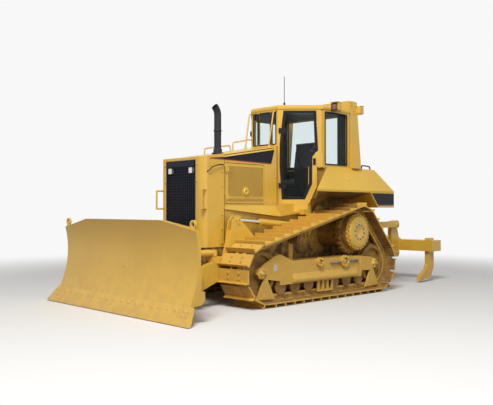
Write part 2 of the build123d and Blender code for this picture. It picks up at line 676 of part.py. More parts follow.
with BuildPart() as hood:
    side_plate(HOOD_OUTSIDE, -HOOD_HALF, HOOD_HALF)
    top_edges = hood.faces().sort_by(Axis.Z)[-1].edges().filter_by(GeomType.LINE)
    long_edges = top_edges.filter_by(lambda edge: abs((edge @ 1 - edge @ 0).X) > 100)
    chamfer(long_edges, HOOD_EDGE)
    side_plate(HOOD_INSIDE, HOOD_SHEET - HOOD_HALF, HOOD_HALF - HOOD_SHEET, Mode.SUBTRACT)
    block((DOOR_REAR - DOOR_PLAY, DOOR_FRONT + DOOR_PLAY), (-HOOD_HALF - 10, HOOD_HALF + 10),
          (DOOR_BOTTOM - DOOR_PLAY, DOOR_TOP + DOOR_PLAY), Mode.SUBTRACT)
    bar((STACK_STATION, STACK_Y, ENGINE_TOP), (STACK_STATION, STACK_Y, HOOD_REAR_TOP + 50),
        STACK_RADIUS + 3, Mode.SUBTRACT)
    for side in (-1, 1):
        hinge_y = side * ENGINE_HINGE[1]
        leaf = sorted((side * (HOOD_HALF - 2), side * (HOOD_HALF + HINGE_RADIUS)))
        for z in ENGINE_HINGE_HEIGHTS:
            low, high = z + KNUCKLE + KNUCKLE_PLAY, z + 2 * KNUCKLE
            bar((DOOR_FRONT, hinge_y, z - KNUCKLE), (DOOR_FRONT, hinge_y, high), HINGE_PIN)
            bar((DOOR_FRONT, hinge_y, low), (DOOR_FRONT, hinge_y, high), HINGE_RADIUS)
            block((DOOR_FRONT, DOOR_FRONT + HOOD_LEAF), leaf, (low, high))
save(hood, "hood")

# Exhaust stack: rises from the engine through the hood and bends forward at its tip
with BuildPart() as exhaust_stack:
    with BuildLine(side_plane(STACK_Y)) as stack_path:
        foot = Line((STACK_STATION, ENGINE_TOP + SEAT_GAP), (STACK_STATION, STACK_TOP))
        JernArc(foot @ 1, foot % 1, STACK_BEND, -50)
    with BuildSketch(Plane(origin=stack_path.line @ 0, z_dir=stack_path.line % 0)):
        Circle(STACK_RADIUS)
        Circle(STACK_RADIUS - 6, mode=Mode.SUBTRACT)
    sweep(path=stack_path.line)
save(exhaust_stack, "exhaust_stack")

# Two bent grab tubes along the hood's right edge, the rear one tied to the cab's corner post
RAIL_Y = -HOOD_HALF + HOOD_EDGE + 15
RAIL_TUBE = 11.0
RAIL_BEND = 45.0
RAIL_RISE = 90.0
RAIL_HIGH_RISE = 130.0
FRONT_RAIL = (-244.0, -790.0)
REAR_RAIL = (-840.0, -985.0)
RAIL_TIE_Y = -(CAB_NOSE_HALF + WINDSHIELD_HALF) / 2
HOOD_PITCH = (HOOD_REAR_TOP - HOOD_FRONT_TOP) / (HOOD_FRONT - HOOD_REAR)


def hood_top(station):
    """Height of the hood's sloped top at a station."""
    return HOOD_FRONT_TOP + (HOOD_FRONT - station) * HOOD_PITCH


def rail_foot(station):
    """Point on the hood's top under the rail."""
    return (IDLER_X + station, RAIL_Y, hood_top(station - RAIL_TUBE) + SEAT_GAP)


def rail_point(station, rise):
    """Point of the rail above the hood's top line."""
    return (IDLER_X + station, RAIL_Y, hood_top(station) + rise)


def bent_tube(*corners):
    """Tube along a path with rounded corners."""
    with BuildLine() as path:
        FilletPolyline(*corners, radius=RAIL_BEND)
    with BuildSketch(Plane(origin=path.line @ 0, z_dir=path.line % 0)) as ring:
        Circle(RAIL_TUBE)
    sweep(sections=ring.sketch, path=path.line)


RAIL_TIE_Z = hood_top(CAB_FRONT) + RAIL_HIGH_RISE

with BuildPart() as hood_rail:
    bent_tube(rail_foot(FRONT_RAIL[0]), rail_point(FRONT_RAIL[0], RAIL_RISE),
              rail_point(FRONT_RAIL[1], RAIL_RISE),
              rail_foot(FRONT_RAIL[1]))
    bent_tube(rail_foot(REAR_RAIL[0]), rail_point(REAR_RAIL[0], RAIL_HIGH_RISE),
              rail_point(REAR_RAIL[1], RAIL_HIGH_RISE),
              (IDLER_X + CAB_FRONT + 2 * RAIL_BEND, RAIL_TIE_Y, RAIL_TIE_Z),
              (IDLER_X + CAB_FRONT + SEAT_GAP, RAIL_TIE_Y, RAIL_TIE_Z))
save(hood_rail, "hood_rail")

# Engine side door with its hinge barrels, two creases and a latch
LATCH = (-278.0, 1580.0)
LATCH_SIZE = (60.0, 40.0)
LATCH_PROUD = 12.0
CREASES = (1440.0, 1505.0)
CREASE = 6.0
CREASE_MARGIN = 20.0

with BuildPart() as engine_door:
    block((DOOR_REAR, DOOR_FRONT), (HOOD_HALF - HOOD_SHEET, HOOD_HALF), (DOOR_BOTTOM, DOOR_TOP))
    for z in CREASES:
        block((DOOR_REAR + CREASE_MARGIN, DOOR_FRONT - DOOR_LEAF - CREASE_MARGIN),
              (HOOD_HALF - CREASE, HOOD_HALF + CREASE),
              (z - CREASE / 2, z + CREASE / 2), Mode.SUBTRACT)
    for z in ENGINE_HINGE_HEIGHTS:
        bar((*ENGINE_HINGE, z - KNUCKLE), (*ENGINE_HINGE, z + KNUCKLE), HINGE_RADIUS)
        block((DOOR_FRONT - DOOR_LEAF, DOOR_FRONT), (HOOD_HALF - 2, HOOD_HALF + HINGE_RADIUS),
              (z - KNUCKLE, z + KNUCKLE))
        bar((*ENGINE_HINGE, z - KNUCKLE - 5), (*ENGINE_HINGE, z + KNUCKLE + 5), HINGE_PIN + PIN_GAP,
            Mode.SUBTRACT)
    block((LATCH[0] - LATCH_SIZE[0] / 2, LATCH[0] + LATCH_SIZE[0] / 2),
          (HOOD_HALF - 2, HOOD_HALF + LATCH_PROUD),
          (LATCH[1] - LATCH_SIZE[1] / 2, LATCH[1] + LATCH_SIZE[1] / 2))
save_pair(engine_door, "engine_door")

# Cab: floor, front wall, slanted door walls, side walls over a shelf, rear wall and roof
CAB_INNER_FRONT = CAB_FRONT - WALL
DOOR_RUN = hypot(CAB_HALF - CAB_NOSE_HALF, CAB_HALF - CAB_NOSE_HALF)
CAB_BEND = CAB_FRONT - (CAB_HALF - CAB_NOSE_HALF)
LOW_BEND = CAB_FRONT - (CAB_LOW_HALF - CAB_NOSE_HALF)


def door_plane(depth=0.0):
    """Plane of the left door wall, from its front corner rearward, that extrudes outward."""
    corner = Vector(IDLER_X + CAB_FRONT, CAB_NOSE_HALF, 0) + Vector(1, 1, 0).normalized() * depth
    return Plane(origin=corner, x_dir=(-1, 1, 0), z_dir=(1, 1, 0))


CAB_FLOOR = (
    (CAB_FRONT, CAB_NOSE_HALF), (LOW_BEND, CAB_LOW_HALF), (CAB_REAR, CAB_LOW_HALF),
    (CAB_REAR, -CAB_LOW_HALF), (LOW_BEND, -CAB_LOW_HALF), (CAB_FRONT, -CAB_NOSE_HALF),
)
COWL_REAR = CAB_FRONT - (HULL_HALF - CAB_NOSE_HALF)
COWL = (
    (HOOD_REAR - HULL_STEP, HULL_HALF), (COWL_REAR, HULL_HALF), (CAB_FRONT, CAB_NOSE_HALF),
    (CAB_FRONT, -CAB_NOSE_HALF), (COWL_REAR, -HULL_HALF), (HOOD_REAR - HULL_STEP, -HULL_HALF),
)

with BuildPart() as cab_floor:
    plan_plate(CAB_FLOOR, CAB_BOTTOM, CAB_SILL)
    plan_plate(COWL, CAB_BOTTOM, CAB_SILL)
save(cab_floor, "cab_floor")

FRONT_WALL = (
    (CAB_FRONT, CAB_NOSE_HALF), (CAB_INNER_FRONT, CAB_NOSE_HALF - WALL),
    (CAB_INNER_FRONT, WALL - CAB_NOSE_HALF), (CAB_FRONT, -CAB_NOSE_HALF),
)
COWL_FRONT = HOOD_REAR - SEAT_GAP
COWL_SHELL = (
    (COWL_FRONT, HULL_HALF), (CAB_FRONT, CAB_NOSE_HALF), (CAB_FRONT, -CAB_NOSE_HALF),
    (COWL_FRONT, -HULL_HALF),
)
COWL_SPACE = (
    (COWL_FRONT + 1, HULL_HALF - WALL), (CAB_FRONT + WALL, CAB_NOSE_HALF - WALL / 2),
    (CAB_FRONT + WALL, WALL / 2 - CAB_NOSE_HALF), (COWL_FRONT + 1, WALL - HULL_HALF),
)
COWL_CUT = (
    (COWL_FRONT + 1, hood_top(COWL_FRONT)), (CAB_FRONT - 1, hood_top(CAB_FRONT)),
    (CAB_FRONT - 1, HOOD_REAR_TOP + 200), (COWL_FRONT + 1, HOOD_REAR_TOP + 200),
)
PANE_EDGES = ((-WINDSHIELD_HALF, -MULLION_Y - MULLION_WIDTH / 2),
              (MULLION_WIDTH / 2 - MULLION_Y, MULLION_Y - MULLION_WIDTH / 2),
              (MULLION_Y + MULLION_WIDTH / 2, WINDSHIELD_HALF))

with BuildPart() as cowl:
    plan_plate(COWL_SHELL, CAB_SILL + SEAT_GAP, HOOD_REAR_TOP + 100)
    plan_plate(COWL_SPACE, CAB_SILL, HOOD_REAR_TOP - WALL, Mode.SUBTRACT)
    side_plate(COWL_CUT, -HULL_HALF - 10, HULL_HALF + 10, Mode.SUBTRACT)

with BuildPart() as cab_front_wall:
    plan_plate(FRONT_WALL, CAB_SILL + SEAT_GAP, CAB_EAVES)
    for left, right in PANE_EDGES:
        block((CAB_INNER_FRONT - 10, CAB_FRONT + 10), (left, right), (WINDSHIELD_BOTTOM, WINDSHIELD_TOP),
              Mode.SUBTRACT)
    add(cowl.part)
save(cab_front_wall, "cab_front_wall")

DOOR_WALL = ((SEAT_GAP, CAB_SILL + SEAT_GAP), (490, CAB_SILL + SEAT_GAP), (612, 1690), (612, CAB_SHELF + 100),
             (DOOR_RUN - WALL, CAB_SHELF + 190), (DOOR_RUN - WALL, CAB_EAVES), (SEAT_GAP, CAB_EAVES))
SIDE_FRONT = CAB_BEND - 4

with BuildPart() as cab_side_walls:
    extrude(outline(door_plane(-WALL), DOOR_WALL), amount=WALL)
    with BuildSketch(door_plane(-WALL - 10)) as doorway:
        with BuildLine():
            Polyline(*CAB_DOOR, close=True)
        make_face()
        offset(amount=RUN_GAP, kind=Kind.INTERSECTION)
    extrude(doorway.sketch, amount=WALL + 20, mode=Mode.SUBTRACT)
    block((CAB_REAR, SIDE_FRONT), (CAB_HALF - WALL, CAB_HALF), (CAB_SHELF - WALL, CAB_EAVES))
    block((SIDE_WINDOW[0], SIDE_WINDOW[1]), (CAB_HALF - WALL - 10, CAB_HALF + 10),
          (SIDE_WINDOW[2], SIDE_WINDOW[3]), Mode.SUBTRACT)
    block((CAB_REAR, CAB_BEND + 60), (CAB_LOW_HALF, CAB_HALF - WALL), (CAB_SHELF - WALL, CAB_SHELF))
    block((CAB_REAR, LOW_BEND - WALL - 12), (CAB_LOW_HALF - WALL, CAB_LOW_HALF),
          (CAB_SILL + SEAT_GAP, CAB_SHELF))
    mirror(about=Plane.XZ)
save(cab_side_walls, "cab_side_walls")

with BuildPart() as cab_rear_wall:
    block((CAB_REAR, CAB_REAR + WALL), (WALL + SEAT_GAP - CAB_LOW_HALF, CAB_LOW_HALF - WALL - SEAT_GAP),
          (CAB_SILL + SEAT_GAP, CAB_EAVES))
    block((CAB_REAR, CAB_REAR + WALL), (WALL + SEAT_GAP - CAB_HALF, CAB_HALF - WALL - SEAT_GAP),
          (CAB_SHELF + SEAT_GAP, CAB_EAVES))
    block((CAB_REAR - 10, CAB_REAR + WALL + 10), (-REAR_WINDOW_HALF, REAR_WINDOW_HALF),
          (REAR_WINDOW_BOTTOM, REAR_WINDOW_TOP), Mode.SUBTRACT)
save(cab_rear_wall, "cab_rear_wall")

ROOF_HALF = CAB_HALF + ROOF_OVERHANG
ROOF_NOSE = CAB_NOSE_HALF + ROOF_OVERHANG
ROOF_FRONT = CAB_FRONT + ROOF_OVERHANG
ROOF_PLAN = (
    (ROOF_FRONT, ROOF_NOSE), (ROOF_FRONT - ROOF_HALF + ROOF_NOSE, ROOF_HALF), (CAB_REAR - 5, ROOF_HALF),
    (CAB_REAR - 5, -ROOF_HALF), (ROOF_FRONT - ROOF_HALF + ROOF_NOSE, -ROOF_HALF), (ROOF_FRONT, -ROOF_NOSE),
)

with BuildPart() as cab_roof:
    plan_plate(ROOF_PLAN, CAB_EAVES + SEAT_GAP, CAB_ROOF)
    chamfer(cab_roof.faces().sort_by(Axis.Z)[-1].edges(), 30)
save(cab_roof, "cab_roof")

PANE_BACK = (WALL - PANE) / 2

with BuildPart() as cab_windows:
    for left, right in PANE_EDGES:
        block((CAB_INNER_FRONT + PANE_BACK, CAB_INNER_FRONT + PANE_BACK + PANE),
              (left + SEAT_GAP, right - SEAT_GAP),
              (WINDSHIELD_BOTTOM + SEAT_GAP, WINDSHIELD_TOP - SEAT_GAP))
    for side in (-1, 1):
        glass = sorted((side * (CAB_HALF - WALL + PANE_BACK), side * (CAB_HALF - PANE_BACK)))
        block((SIDE_WINDOW[0] + SEAT_GAP, SIDE_WINDOW[1] - SEAT_GAP), glass,
              (SIDE_WINDOW[2] + SEAT_GAP, SIDE_WINDOW[3] - SEAT_GAP))
    block((CAB_REAR + PANE_BACK, CAB_REAR + PANE_BACK + PANE),
          (SEAT_GAP - REAR_WINDOW_HALF, REAR_WINDOW_HALF - SEAT_GAP),
          (REAR_WINDOW_BOTTOM + SEAT_GAP, REAR_WINDOW_TOP - SEAT_GAP))
save(cab_windows, "cab_windows")

# Cab door: a rim around the glass, hung on two hinge barrels outside its front edge
DOOR_PROUD = 4.0
CAB_HINGE_S = 24.0
CAB_HINGE_OUT = HINGE_RADIUS + 4.0
HINGE_HEIGHTS = (1700.0, 2560.0)

with BuildPart() as cab_door:
    with BuildSketch(door_plane(DOOR_PROUD - DOOR_THICKNESS)) as rim:
        with BuildLine():
            Polyline(*CAB_DOOR, close=True)
        whole_door = make_face()
        offset(whole_door, amount=-DOOR_RIM, kind=Kind.INTERSECTION, mode=Mode.SUBTRACT)
    extrude(rim.sketch, amount=DOOR_THICKNESS)
    for z in HINGE_HEIGHTS:
        hinge = door_plane(CAB_HINGE_OUT).from_local_coords((CAB_HINGE_S, z - 40, 0))
        with Locations(hinge):
            Cylinder(HINGE_RADIUS, 80, align=(Align.CENTER, Align.CENTER, Align.MIN))
        leaf = ((CAB_HINGE_S, z - 40), (CAB_HINGE_S, z + 40), (130, z + 40), (130, z - 40))
        extrude(outline(door_plane(DOOR_PROUD - 1), leaf), amount=HINGE_RADIUS - 3)
save_pair(cab_door, "cab_door")

with BuildPart() as cab_door_glass:
    with BuildSketch(door_plane(-DOOR_THICKNESS / 2)) as glass:
        with BuildLine():
            Polyline(*CAB_DOOR, close=True)
        whole_door = make_face(mode=Mode.PRIVATE)
        offset(whole_door, amount=-DOOR_RIM - SEAT_GAP, kind=Kind.INTERSECTION, mode=Mode.ADD)
    extrude(glass.sketch, amount=PANE)
save_pair(cab_door_glass, "cab_door_glass")

# Seat and control consoles
SEAT_REAR = -2180.0
SEAT_HALF = 240.0
PEDESTAL_HALF = 160.0
PEDESTAL_HEIGHT = 300.0
CUSHION_TOP = 430.0
BACKREST_TOP = 1080.0
CONSOLE_WIDTH = 140.0
CONSOLE_HEIGHT = 560.0
LEVER_HEIGHT = 690.0
LEVER_RADIUS = 22.0
DASH_DEPTH = 110.0
DASH_HALF = 230.0
DASH_TOP = 2240.0

with BuildPart() as operator_seat:
    block((SEAT_REAR + 80, SEAT_REAR + 480), (-PEDESTAL_HALF, PEDESTAL_HALF),
          (CAB_SILL + SEAT_GAP, CAB_SILL + PEDESTAL_HEIGHT))
    block((SEAT_REAR + 60, SEAT_REAR + 540), (-SEAT_HALF, SEAT_HALF),
          (CAB_SILL + PEDESTAL_HEIGHT, CAB_SILL + CUSHION_TOP))
    side_plate(((SEAT_REAR + 60, CAB_SILL + CUSHION_TOP), (SEAT_REAR + 190, CAB_SILL + CUSHION_TOP),
                (SEAT_REAR + 90, CAB_SILL + BACKREST_TOP), (SEAT_REAR - 20, CAB_SILL + BACKREST_TOP)),
                -SEAT_HALF, SEAT_HALF)
save(operator_seat, "operator_seat")

with BuildPart() as cab_controls:
    for side in (-1, 1):
        arm = sorted((side * (SEAT_HALF + 30), side * (SEAT_HALF + 30 + CONSOLE_WIDTH)))
        block((SEAT_REAR + 120, SEAT_REAR + 620), arm, (CAB_SILL + SEAT_GAP, CAB_SILL + CONSOLE_HEIGHT))
        bar((SEAT_REAR + 560, sum(arm) / 2, CAB_SILL + CONSOLE_HEIGHT - 5),
            (SEAT_REAR + 590, sum(arm) / 2, CAB_SILL + LEVER_HEIGHT), LEVER_RADIUS)
    block((CAB_INNER_FRONT - DASH_DEPTH, CAB_INNER_FRONT - SEAT_GAP), (-DASH_HALF, DASH_HALF),
          (CAB_SILL + SEAT_GAP, DASH_TOP))
save(cab_controls, "cab_controls")

# Roll bar behind the cab, on the fenders, with posts that lean in
ROPS_BASE = FENDER_TOP + SEAT_GAP

with BuildPart() as roll_bar:
    for side in (-1, 1):
        post = ((side * ROPS_INNER, ROPS_BASE), (side * ROPS_OUTER, ROPS_BASE),
                (side * (ROPS_OUTER - ROPS_LEAN), ROPS_TOP), (side * (ROPS_INNER - ROPS_LEAN), ROPS_TOP))
        foot = sorted((side * (ROPS_INNER - 60), side * FENDER_TOP_OUTER))
        front_plate(post, ROPS_REAR, ROPS_FRONT)
        block((ROPS_REAR - 60, ROPS_FRONT), foot, (ROPS_BASE, FENDER_TOP + ROPS_FOOT))
    block((ROPS_REAR, ROPS_FRONT), (ROPS_LEAN - ROPS_OUTER, ROPS_OUTER - ROPS_LEAN),
          (ROPS_TOP - ROPS_BEAM, ROPS_TOP))
save(roll_bar, "roll_bar")

FRONT_WORK_LAMP = (-1900.0, ROOF_HALF + 60.0, 2950.0)
LAMP_ARM = 20.0
LAMP_DEPTH = 80.0
LAMP_DROP = ROPS_TOP - ROPS_BEAM - 5.0
REAR_LAMP_OUTER = ROPS_OUTER - 40.0

with BuildPart() as work_lamps:
    for side in (-1, 1):
        lamp = sorted((side * (FRONT_WORK_LAMP[1] - WORK_LAMP / 2),
                       side * (FRONT_WORK_LAMP[1] + WORK_LAMP / 2)))
        block((FRONT_WORK_LAMP[0] - LAMP_DEPTH / 2, FRONT_WORK_LAMP[0] + LAMP_DEPTH / 2), lamp,
              (FRONT_WORK_LAMP[2] - WORK_LAMP / 2, FRONT_WORK_LAMP[2] + WORK_LAMP / 2))
        arm = sorted((side * (ROOF_HALF + SEAT_GAP), side * FRONT_WORK_LAMP[1]))
        block((FRONT_WORK_LAMP[0] - LAMP_ARM, FRONT_WORK_LAMP[0] + LAMP_ARM), arm,
              (CAB_EAVES + 5, CAB_EAVES + 30))
        rear = sorted((side * (REAR_LAMP_OUTER - WORK_LAMP), side * REAR_LAMP_OUTER))
        block((ROPS_REAR - LAMP_DEPTH, ROPS_REAR - SEAT_GAP), rear, (LAMP_DROP - WORK_LAMP, LAMP_DROP))
save(work_lamps, "work_lamps")

ANTENNA = (-1345.0, 250.0)

with BuildPart() as antenna:
    bar((*ANTENNA, CAB_ROOF + SEAT_GAP), (*ANTENNA, CAB_ROOF + 60), ANTENNA_RADIUS * 3)
    bar((*ANTENNA, CAB_ROOF + 50), (*ANTENNA, ANTENNA_TOP), ANTENNA_RADIUS)
save(antenna, "antenna")

# Fenders: faceted covers over the tracks with inner walls and front aprons, cleared for the door's swing
FENDER_BOTTOM = FENDER_EDGE - FENDER_DEPTH
FENDER_INNER = CAB_LOW_HALF + SEAT_GAP
FENDER_SIDE = (
    (FENDER_FRONT_LOW, FENDER_BOTTOM), (FENDER_FRONT_LOW, FENDER_EDGE), (FENDER_FRONT_HIGH, FENDER_TOP),
    (FENDER_REAR_HIGH, FENDER_TOP), (FENDER_REAR_LOW, FENDER_EDGE), (FENDER_REAR_LOW, FENDER_BOTTOM),
)
FENDER_SECTION = (
    (FENDER_INNER, FENDER_BOTTOM), (FENDER_INNER + 80, FENDER_BOTTOM),
    (FENDER_OUTER, FENDER_EDGE - FENDER_LIP),
    (FENDER_OUTER, FENDER_EDGE), (FENDER_TOP_OUTER, FENDER_TOP), (FENDER_INNER, FENDER_TOP),
)
SWING_GAP = 20.0
SWING_BACK = hypot(WALL + 8, WALL + 8)
SWING_BEND = (CAB_BEND - SWING_BACK - SWING_GAP, CAB_HALF + SWING_GAP)
SWING_CUT = (
    (LOW_BEND - SWING_BACK, CAB_LOW_HALF), SWING_BEND, (FENDER_FRONT_LOW - 30, FENDER_OUTER + 10),
    (FENDER_FRONT_LOW + 100, FENDER_OUTER + 10), (FENDER_FRONT_LOW + 100, CAB_LOW_HALF),
)
INNER_WALL = 30.0
INNER_WALL_FRONT = LOW_BEND - SWING_BACK - SWING_GAP
APRON = (
    (IDLER_X + FENDER_FRONT_LOW - 100, FENDER_OUTER - 20, FENDER_EDGE - FENDER_LIP),
    (IDLER_X + INNER_WALL_FRONT - 10, FENDER_INNER + 10, CAB_BOTTOM + 5),
    (IDLER_X + SWING_BEND[0] - 10, SWING_BEND[1] + 15, FENDER_BOTTOM + 35),
)
APRON_SHEET = 14.0

with BuildPart() as fenders:
    side_plate(FENDER_SIDE, FENDER_INNER, FENDER_OUTER)
    front_plate(FENDER_SECTION, FENDER_REAR_LOW - 50, FENDER_FRONT_LOW + 50, Mode.INTERSECT)
    plan_plate(SWING_CUT, FENDER_BOTTOM - 50, FENDER_TOP + 50, Mode.SUBTRACT)
    block((CAB_REAR - 8, FENDER_FRONT_LOW), (CAB_LOW_HALF - 50, CAB_HALF),
          (CAB_SHELF - WALL - SEAT_GAP, FENDER_TOP + 10),
          Mode.SUBTRACT)
    block((CAB_REAR, INNER_WALL_FRONT), (FENDER_INNER, FENDER_INNER + INNER_WALL),
          (CAB_BOTTOM, FENDER_BOTTOM + 10))
    extrude(Face(Wire.make_polygon([Vector(*corner) for corner in APRON])), amount=APRON_SHEET, dir=(0, 0, 1))
    mirror(about=Plane.XZ)
save(fenders, "fenders")

TANK_BOTTOM = FENDER_EDGE - TANK_DEPTH
TANK_INNER = FENDER_INNER + 80
TANK_SIDE = ((TANK_FRONT_HIGH, FENDER_EDGE), (TANK_FRONT_LOW, TANK_BOTTOM), (FENDER_REAR_LOW, TANK_BOTTOM),
             (FENDER_REAR_LOW, FENDER_EDGE))
TANK_SECTION = (
    (FENDER_INNER - 40, FENDER_BOTTOM - SEAT_GAP), (FENDER_INNER - 40, TANK_BOTTOM),
    (FENDER_OUTER, TANK_BOTTOM),
    (FENDER_OUTER, FENDER_EDGE - FENDER_LIP - SEAT_GAP), (TANK_INNER, FENDER_BOTTOM - SEAT_GAP),
)

with BuildPart() as fuel_tank:
    side_plate(TANK_SIDE, FENDER_INNER - 40, FENDER_OUTER)
    front_plate(TANK_SECTION, FENDER_REAR_LOW - 50, TANK_FRONT_HIGH + 50, Mode.INTERSECT)
    mirror(about=Plane.XZ)
    block((FENDER_REAR_LOW, TANK_CENTRE_FRONT), (-CAB_LOW_HALF, CAB_LOW_HALF),
          (CASE_TOP + SEAT_GAP, FENDER_TOP))
save(fuel_tank, "fuel_tank")

# Push frame: arms with lift ears, cross beam, cylinder seats and the forked nose
NOSE_LOW = SWIVEL_Z - NOSE_CLEAR / 2 - NOSE_PLATE
NOSE_HIGH = SWIVEL_Z + NOSE_CLEAR / 2 + NOSE_PLATE
BEAM_NOSE = BEAM_BACK + CROSS_BEAM_DEPTH
ARM = (
    (TRUNNION[0] - 80, TRUNNION[1] - 95), (TRUNNION[0] - 115, TRUNNION[1] + 60), (TRUNNION[0] - 110, 870),
    (LIFT_EYE[0] - 70, LIFT_EYE[1] - 10), (LIFT_EYE[0] + 45, LIFT_EYE[1] + 30),
    (LIFT_EYE[0] + 95, LIFT_EYE[1]),
    (210, 870), (260, 690), (BEAM_BACK, CROSS_BEAM_HIGH), (BEAM_BACK + 40, CROSS_BEAM_LOW), (300, 400),
)
FORK_TOP = LIFT_EYE[1] + 120
FORK_BOTTOM = LIFT_EYE[1] - 150
ANGLE_SEAT = ANGLE_Z - ANGLE_EYE_WIDTH / 2 - RUN_GAP

with BuildPart() as push_frame:
    side_plate(ARM, ARM_INNER, ARM_OUTER)
    cross_bar(TRUNNION, ARM_INNER, ARM_OUTER, 125)
    cross_bar(LIFT_EYE, ARM_INNER, ARM_OUTER, 62)
    block((TRUNNION[0] - 110, LIFT_EYE[0] + 150), (LIFT_Y - LIFT_FORK_GAP / 2, LIFT_Y + LIFT_FORK_GAP / 2),
          (FORK_BOTTOM, FORK_TOP), Mode.SUBTRACT)
    cross_bar(TRUNNION, ARM_INNER - 10, ARM_OUTER + 10, TRUNNION_RADIUS + PIN_GAP, Mode.SUBTRACT)
    block((ANGLE_BASE[0] - 55, ANGLE_BASE[0] + 55), (ARM_INNER, ARM_OUTER), (560, ANGLE_SEAT))
    bar((*ANGLE_BASE, ANGLE_SEAT - 20), (*ANGLE_BASE, ANGLE_Z + ANGLE_EYE_WIDTH / 2), ANGLE_PIN_RADIUS)
    mirror(about=Plane.XZ)
    block((BEAM_BACK, BEAM_NOSE), (-CROSS_BEAM_HALF, CROSS_BEAM_HALF), (CROSS_BEAM_LOW, CROSS_BEAM_HIGH))
    block((BEAM_BACK + 10, BEAM_NOSE), (-NOSE_RADIUS * 1.6, NOSE_RADIUS * 1.6), (CROSS_BEAM_LOW, NOSE_HIGH))
    for low in (NOSE_LOW, NOSE_HIGH - NOSE_PLATE):
        block((BEAM_NOSE - 10, SWIVEL_STATION), (-NOSE_RADIUS, NOSE_RADIUS), (low, low + NOSE_PLATE))
        bar((SWIVEL_STATION, 0, low), (SWIVEL_STATION, 0, low + NOSE_PLATE), NOSE_RADIUS)
    bar((SWIVEL_STATION, 0, NOSE_LOW - 10), (SWIVEL_STATION, 0, NOSE_HIGH + 10), SWIVEL_PIN + PIN_GAP,
        Mode.SUBTRACT)
save(push_frame, "push_frame")


# Cylinders: a bored barrel from its base pin, and a rod with its eye
BARREL_END = 25.0


def barrel(base, eye, axis, radius, rod_radius, gland, eye_radius, eye_width, pin_radius, neck=15.0):
    """Barrel from a bored base eye, over a slim neck, to its gland."""
    shoulder = eye_radius + neck
    half = Vector(*axis) * (eye_width / 2)
    centre = Vector(*base)
    bar(tuple(centre - half), tuple(centre + half), eye_radius)
    bar(base, reach(base, eye, shoulder + 5), min(radius, eye_width / 2) * 0.95)
    bar(reach(base, eye, shoulder), reach(base, eye, gland), radius * 0.9)
    bar(reach(base, eye, shoulder + 12), reach(base, eye, gland - 70), radius)
    bar(reach(base, eye, gland - 60), reach(base, eye, gland), radius)
    bar(reach(base, eye, shoulder + BARREL_END), reach(base, eye, gland + 10), rod_radius + PIN_GAP,
        Mode.SUBTRACT)
    bar(tuple(centre - half * 3), tuple(centre + half * 3), pin_radius + PIN_GAP, Mode.SUBTRACT)


def rod(base, eye, axis, radius, length, eye_radius, eye_width):
    """Rod that reaches back into the barrel from its eye."""
    half = Vector(*axis) * (eye_width / 2)
    centre = Vector(*eye)
    bar(reach(eye, base, length), eye, radius)
    bar(tuple(centre - half), tuple(centre + half), eye_radius)


def lift_point(place):
    """A lift cylinder's pin as station, Y and height."""
    return (place[0], LIFT_Y, place[1])


with BuildPart() as lift_barrels:
    barrel(lift_point(LIFT_BASE), lift_point(LIFT_EYE), (0, 1, 0), LIFT_BARREL_RADIUS, LIFT_ROD_RADIUS,
           LIFT_GLAND,
           LIFT_EYE_RADIUS, LIFT_FORK_GAP - 4, LIFT_PIN_RADIUS)
    mirror(about=Plane.XZ)
save(lift_barrels, "lift_barrels")

with BuildPart() as lift_rods:
    rod(lift_point(LIFT_BASE), lift_point(LIFT_EYE), (0, 1, 0), LIFT_ROD_RADIUS, LIFT_ROD_LENGTH,
        LIFT_EYE_RADIUS, LIFT_EYE_WIDTH)
    mirror(about=Plane.XZ)
save(lift_rods, "lift_rods")

# Blade swivel: block and pins in the push frame's nose, tilt shaft, yoke for the angle rods and tilt tower
SWIVEL_GAP = 5.0
FORK_HALF = ANGLE_FORK_GAP / 2
FORK_PLATE = 22.0
TOWER = (
    (-170, SWIVEL_Z - TRUNNION_SHAFT - 25), (170, SWIVEL_Z - TRUNNION_SHAFT - 25), (170, ANGLE_Z),
    (TILT_BASE[0] + 75, TILT_BASE[1] + 60), (TILT_BASE[0] - 60, TILT_BASE[1] + 60),
    (TILT_BASE[0] - 60, ANGLE_Z),
)

with BuildPart() as blade_swivel:
    bar((SWIVEL_STATION, 0, SWIVEL_Z - NOSE_CLEAR / 2 + SWIVEL_GAP),
        (SWIVEL_STATION, 0, SWIVEL_Z + NOSE_CLEAR / 2 - SWIVEL_GAP), SWIVEL_RADIUS)
    bar((SWIVEL_STATION, 0, NOSE_LOW), (SWIVEL_STATION, 0, NOSE_HIGH), SWIVEL_PIN)
    bar((SWIVEL_STATION, 0, SWIVEL_Z), (YOKE_FRONT + 100, 0, SWIVEL_Z), TRUNNION_SHAFT)
    front_plate(TOWER, YOKE_BACK, YOKE_FRONT)
    block((YOKE_BACK, YOKE_FRONT), (-YOKE_HALF, YOKE_HALF),
          (ANGLE_Z - FORK_HALF - 45, ANGLE_Z + FORK_HALF + 45))
    for side in (-1, 1):
        fork = sorted((side * (ANGLE_EYE[1] - 100), side * YOKE_HALF))
        for low in (ANGLE_Z + FORK_HALF, ANGLE_Z - FORK_HALF - FORK_PLATE):
            block((ANGLE_EYE[0] - 65, YOKE_BACK + 5), fork, (low, low + FORK_PLATE))
    bar((YOKE_FRONT - 5, *TILT_BASE), (TILT_STATION + TILT_EYE_WIDTH / 2, *TILT_BASE), TILT_PIN_RADIUS)
save(blade_swivel, "blade_swivel")


def angle_point(place):
    """An angle cylinder's pin as station, Y and height."""
    return (*place, ANGLE_Z)


with BuildPart() as angle_barrel:
    barrel(angle_point(ANGLE_BASE), angle_point(ANGLE_EYE), (0, 0, 1), ANGLE_BARREL_RADIUS,
           ANGLE_ROD_RADIUS, ANGLE_GLAND,
           ANGLE_EYE_RADIUS, ANGLE_EYE_WIDTH, ANGLE_PIN_RADIUS)
save_pair(angle_barrel, "angle_barrel")

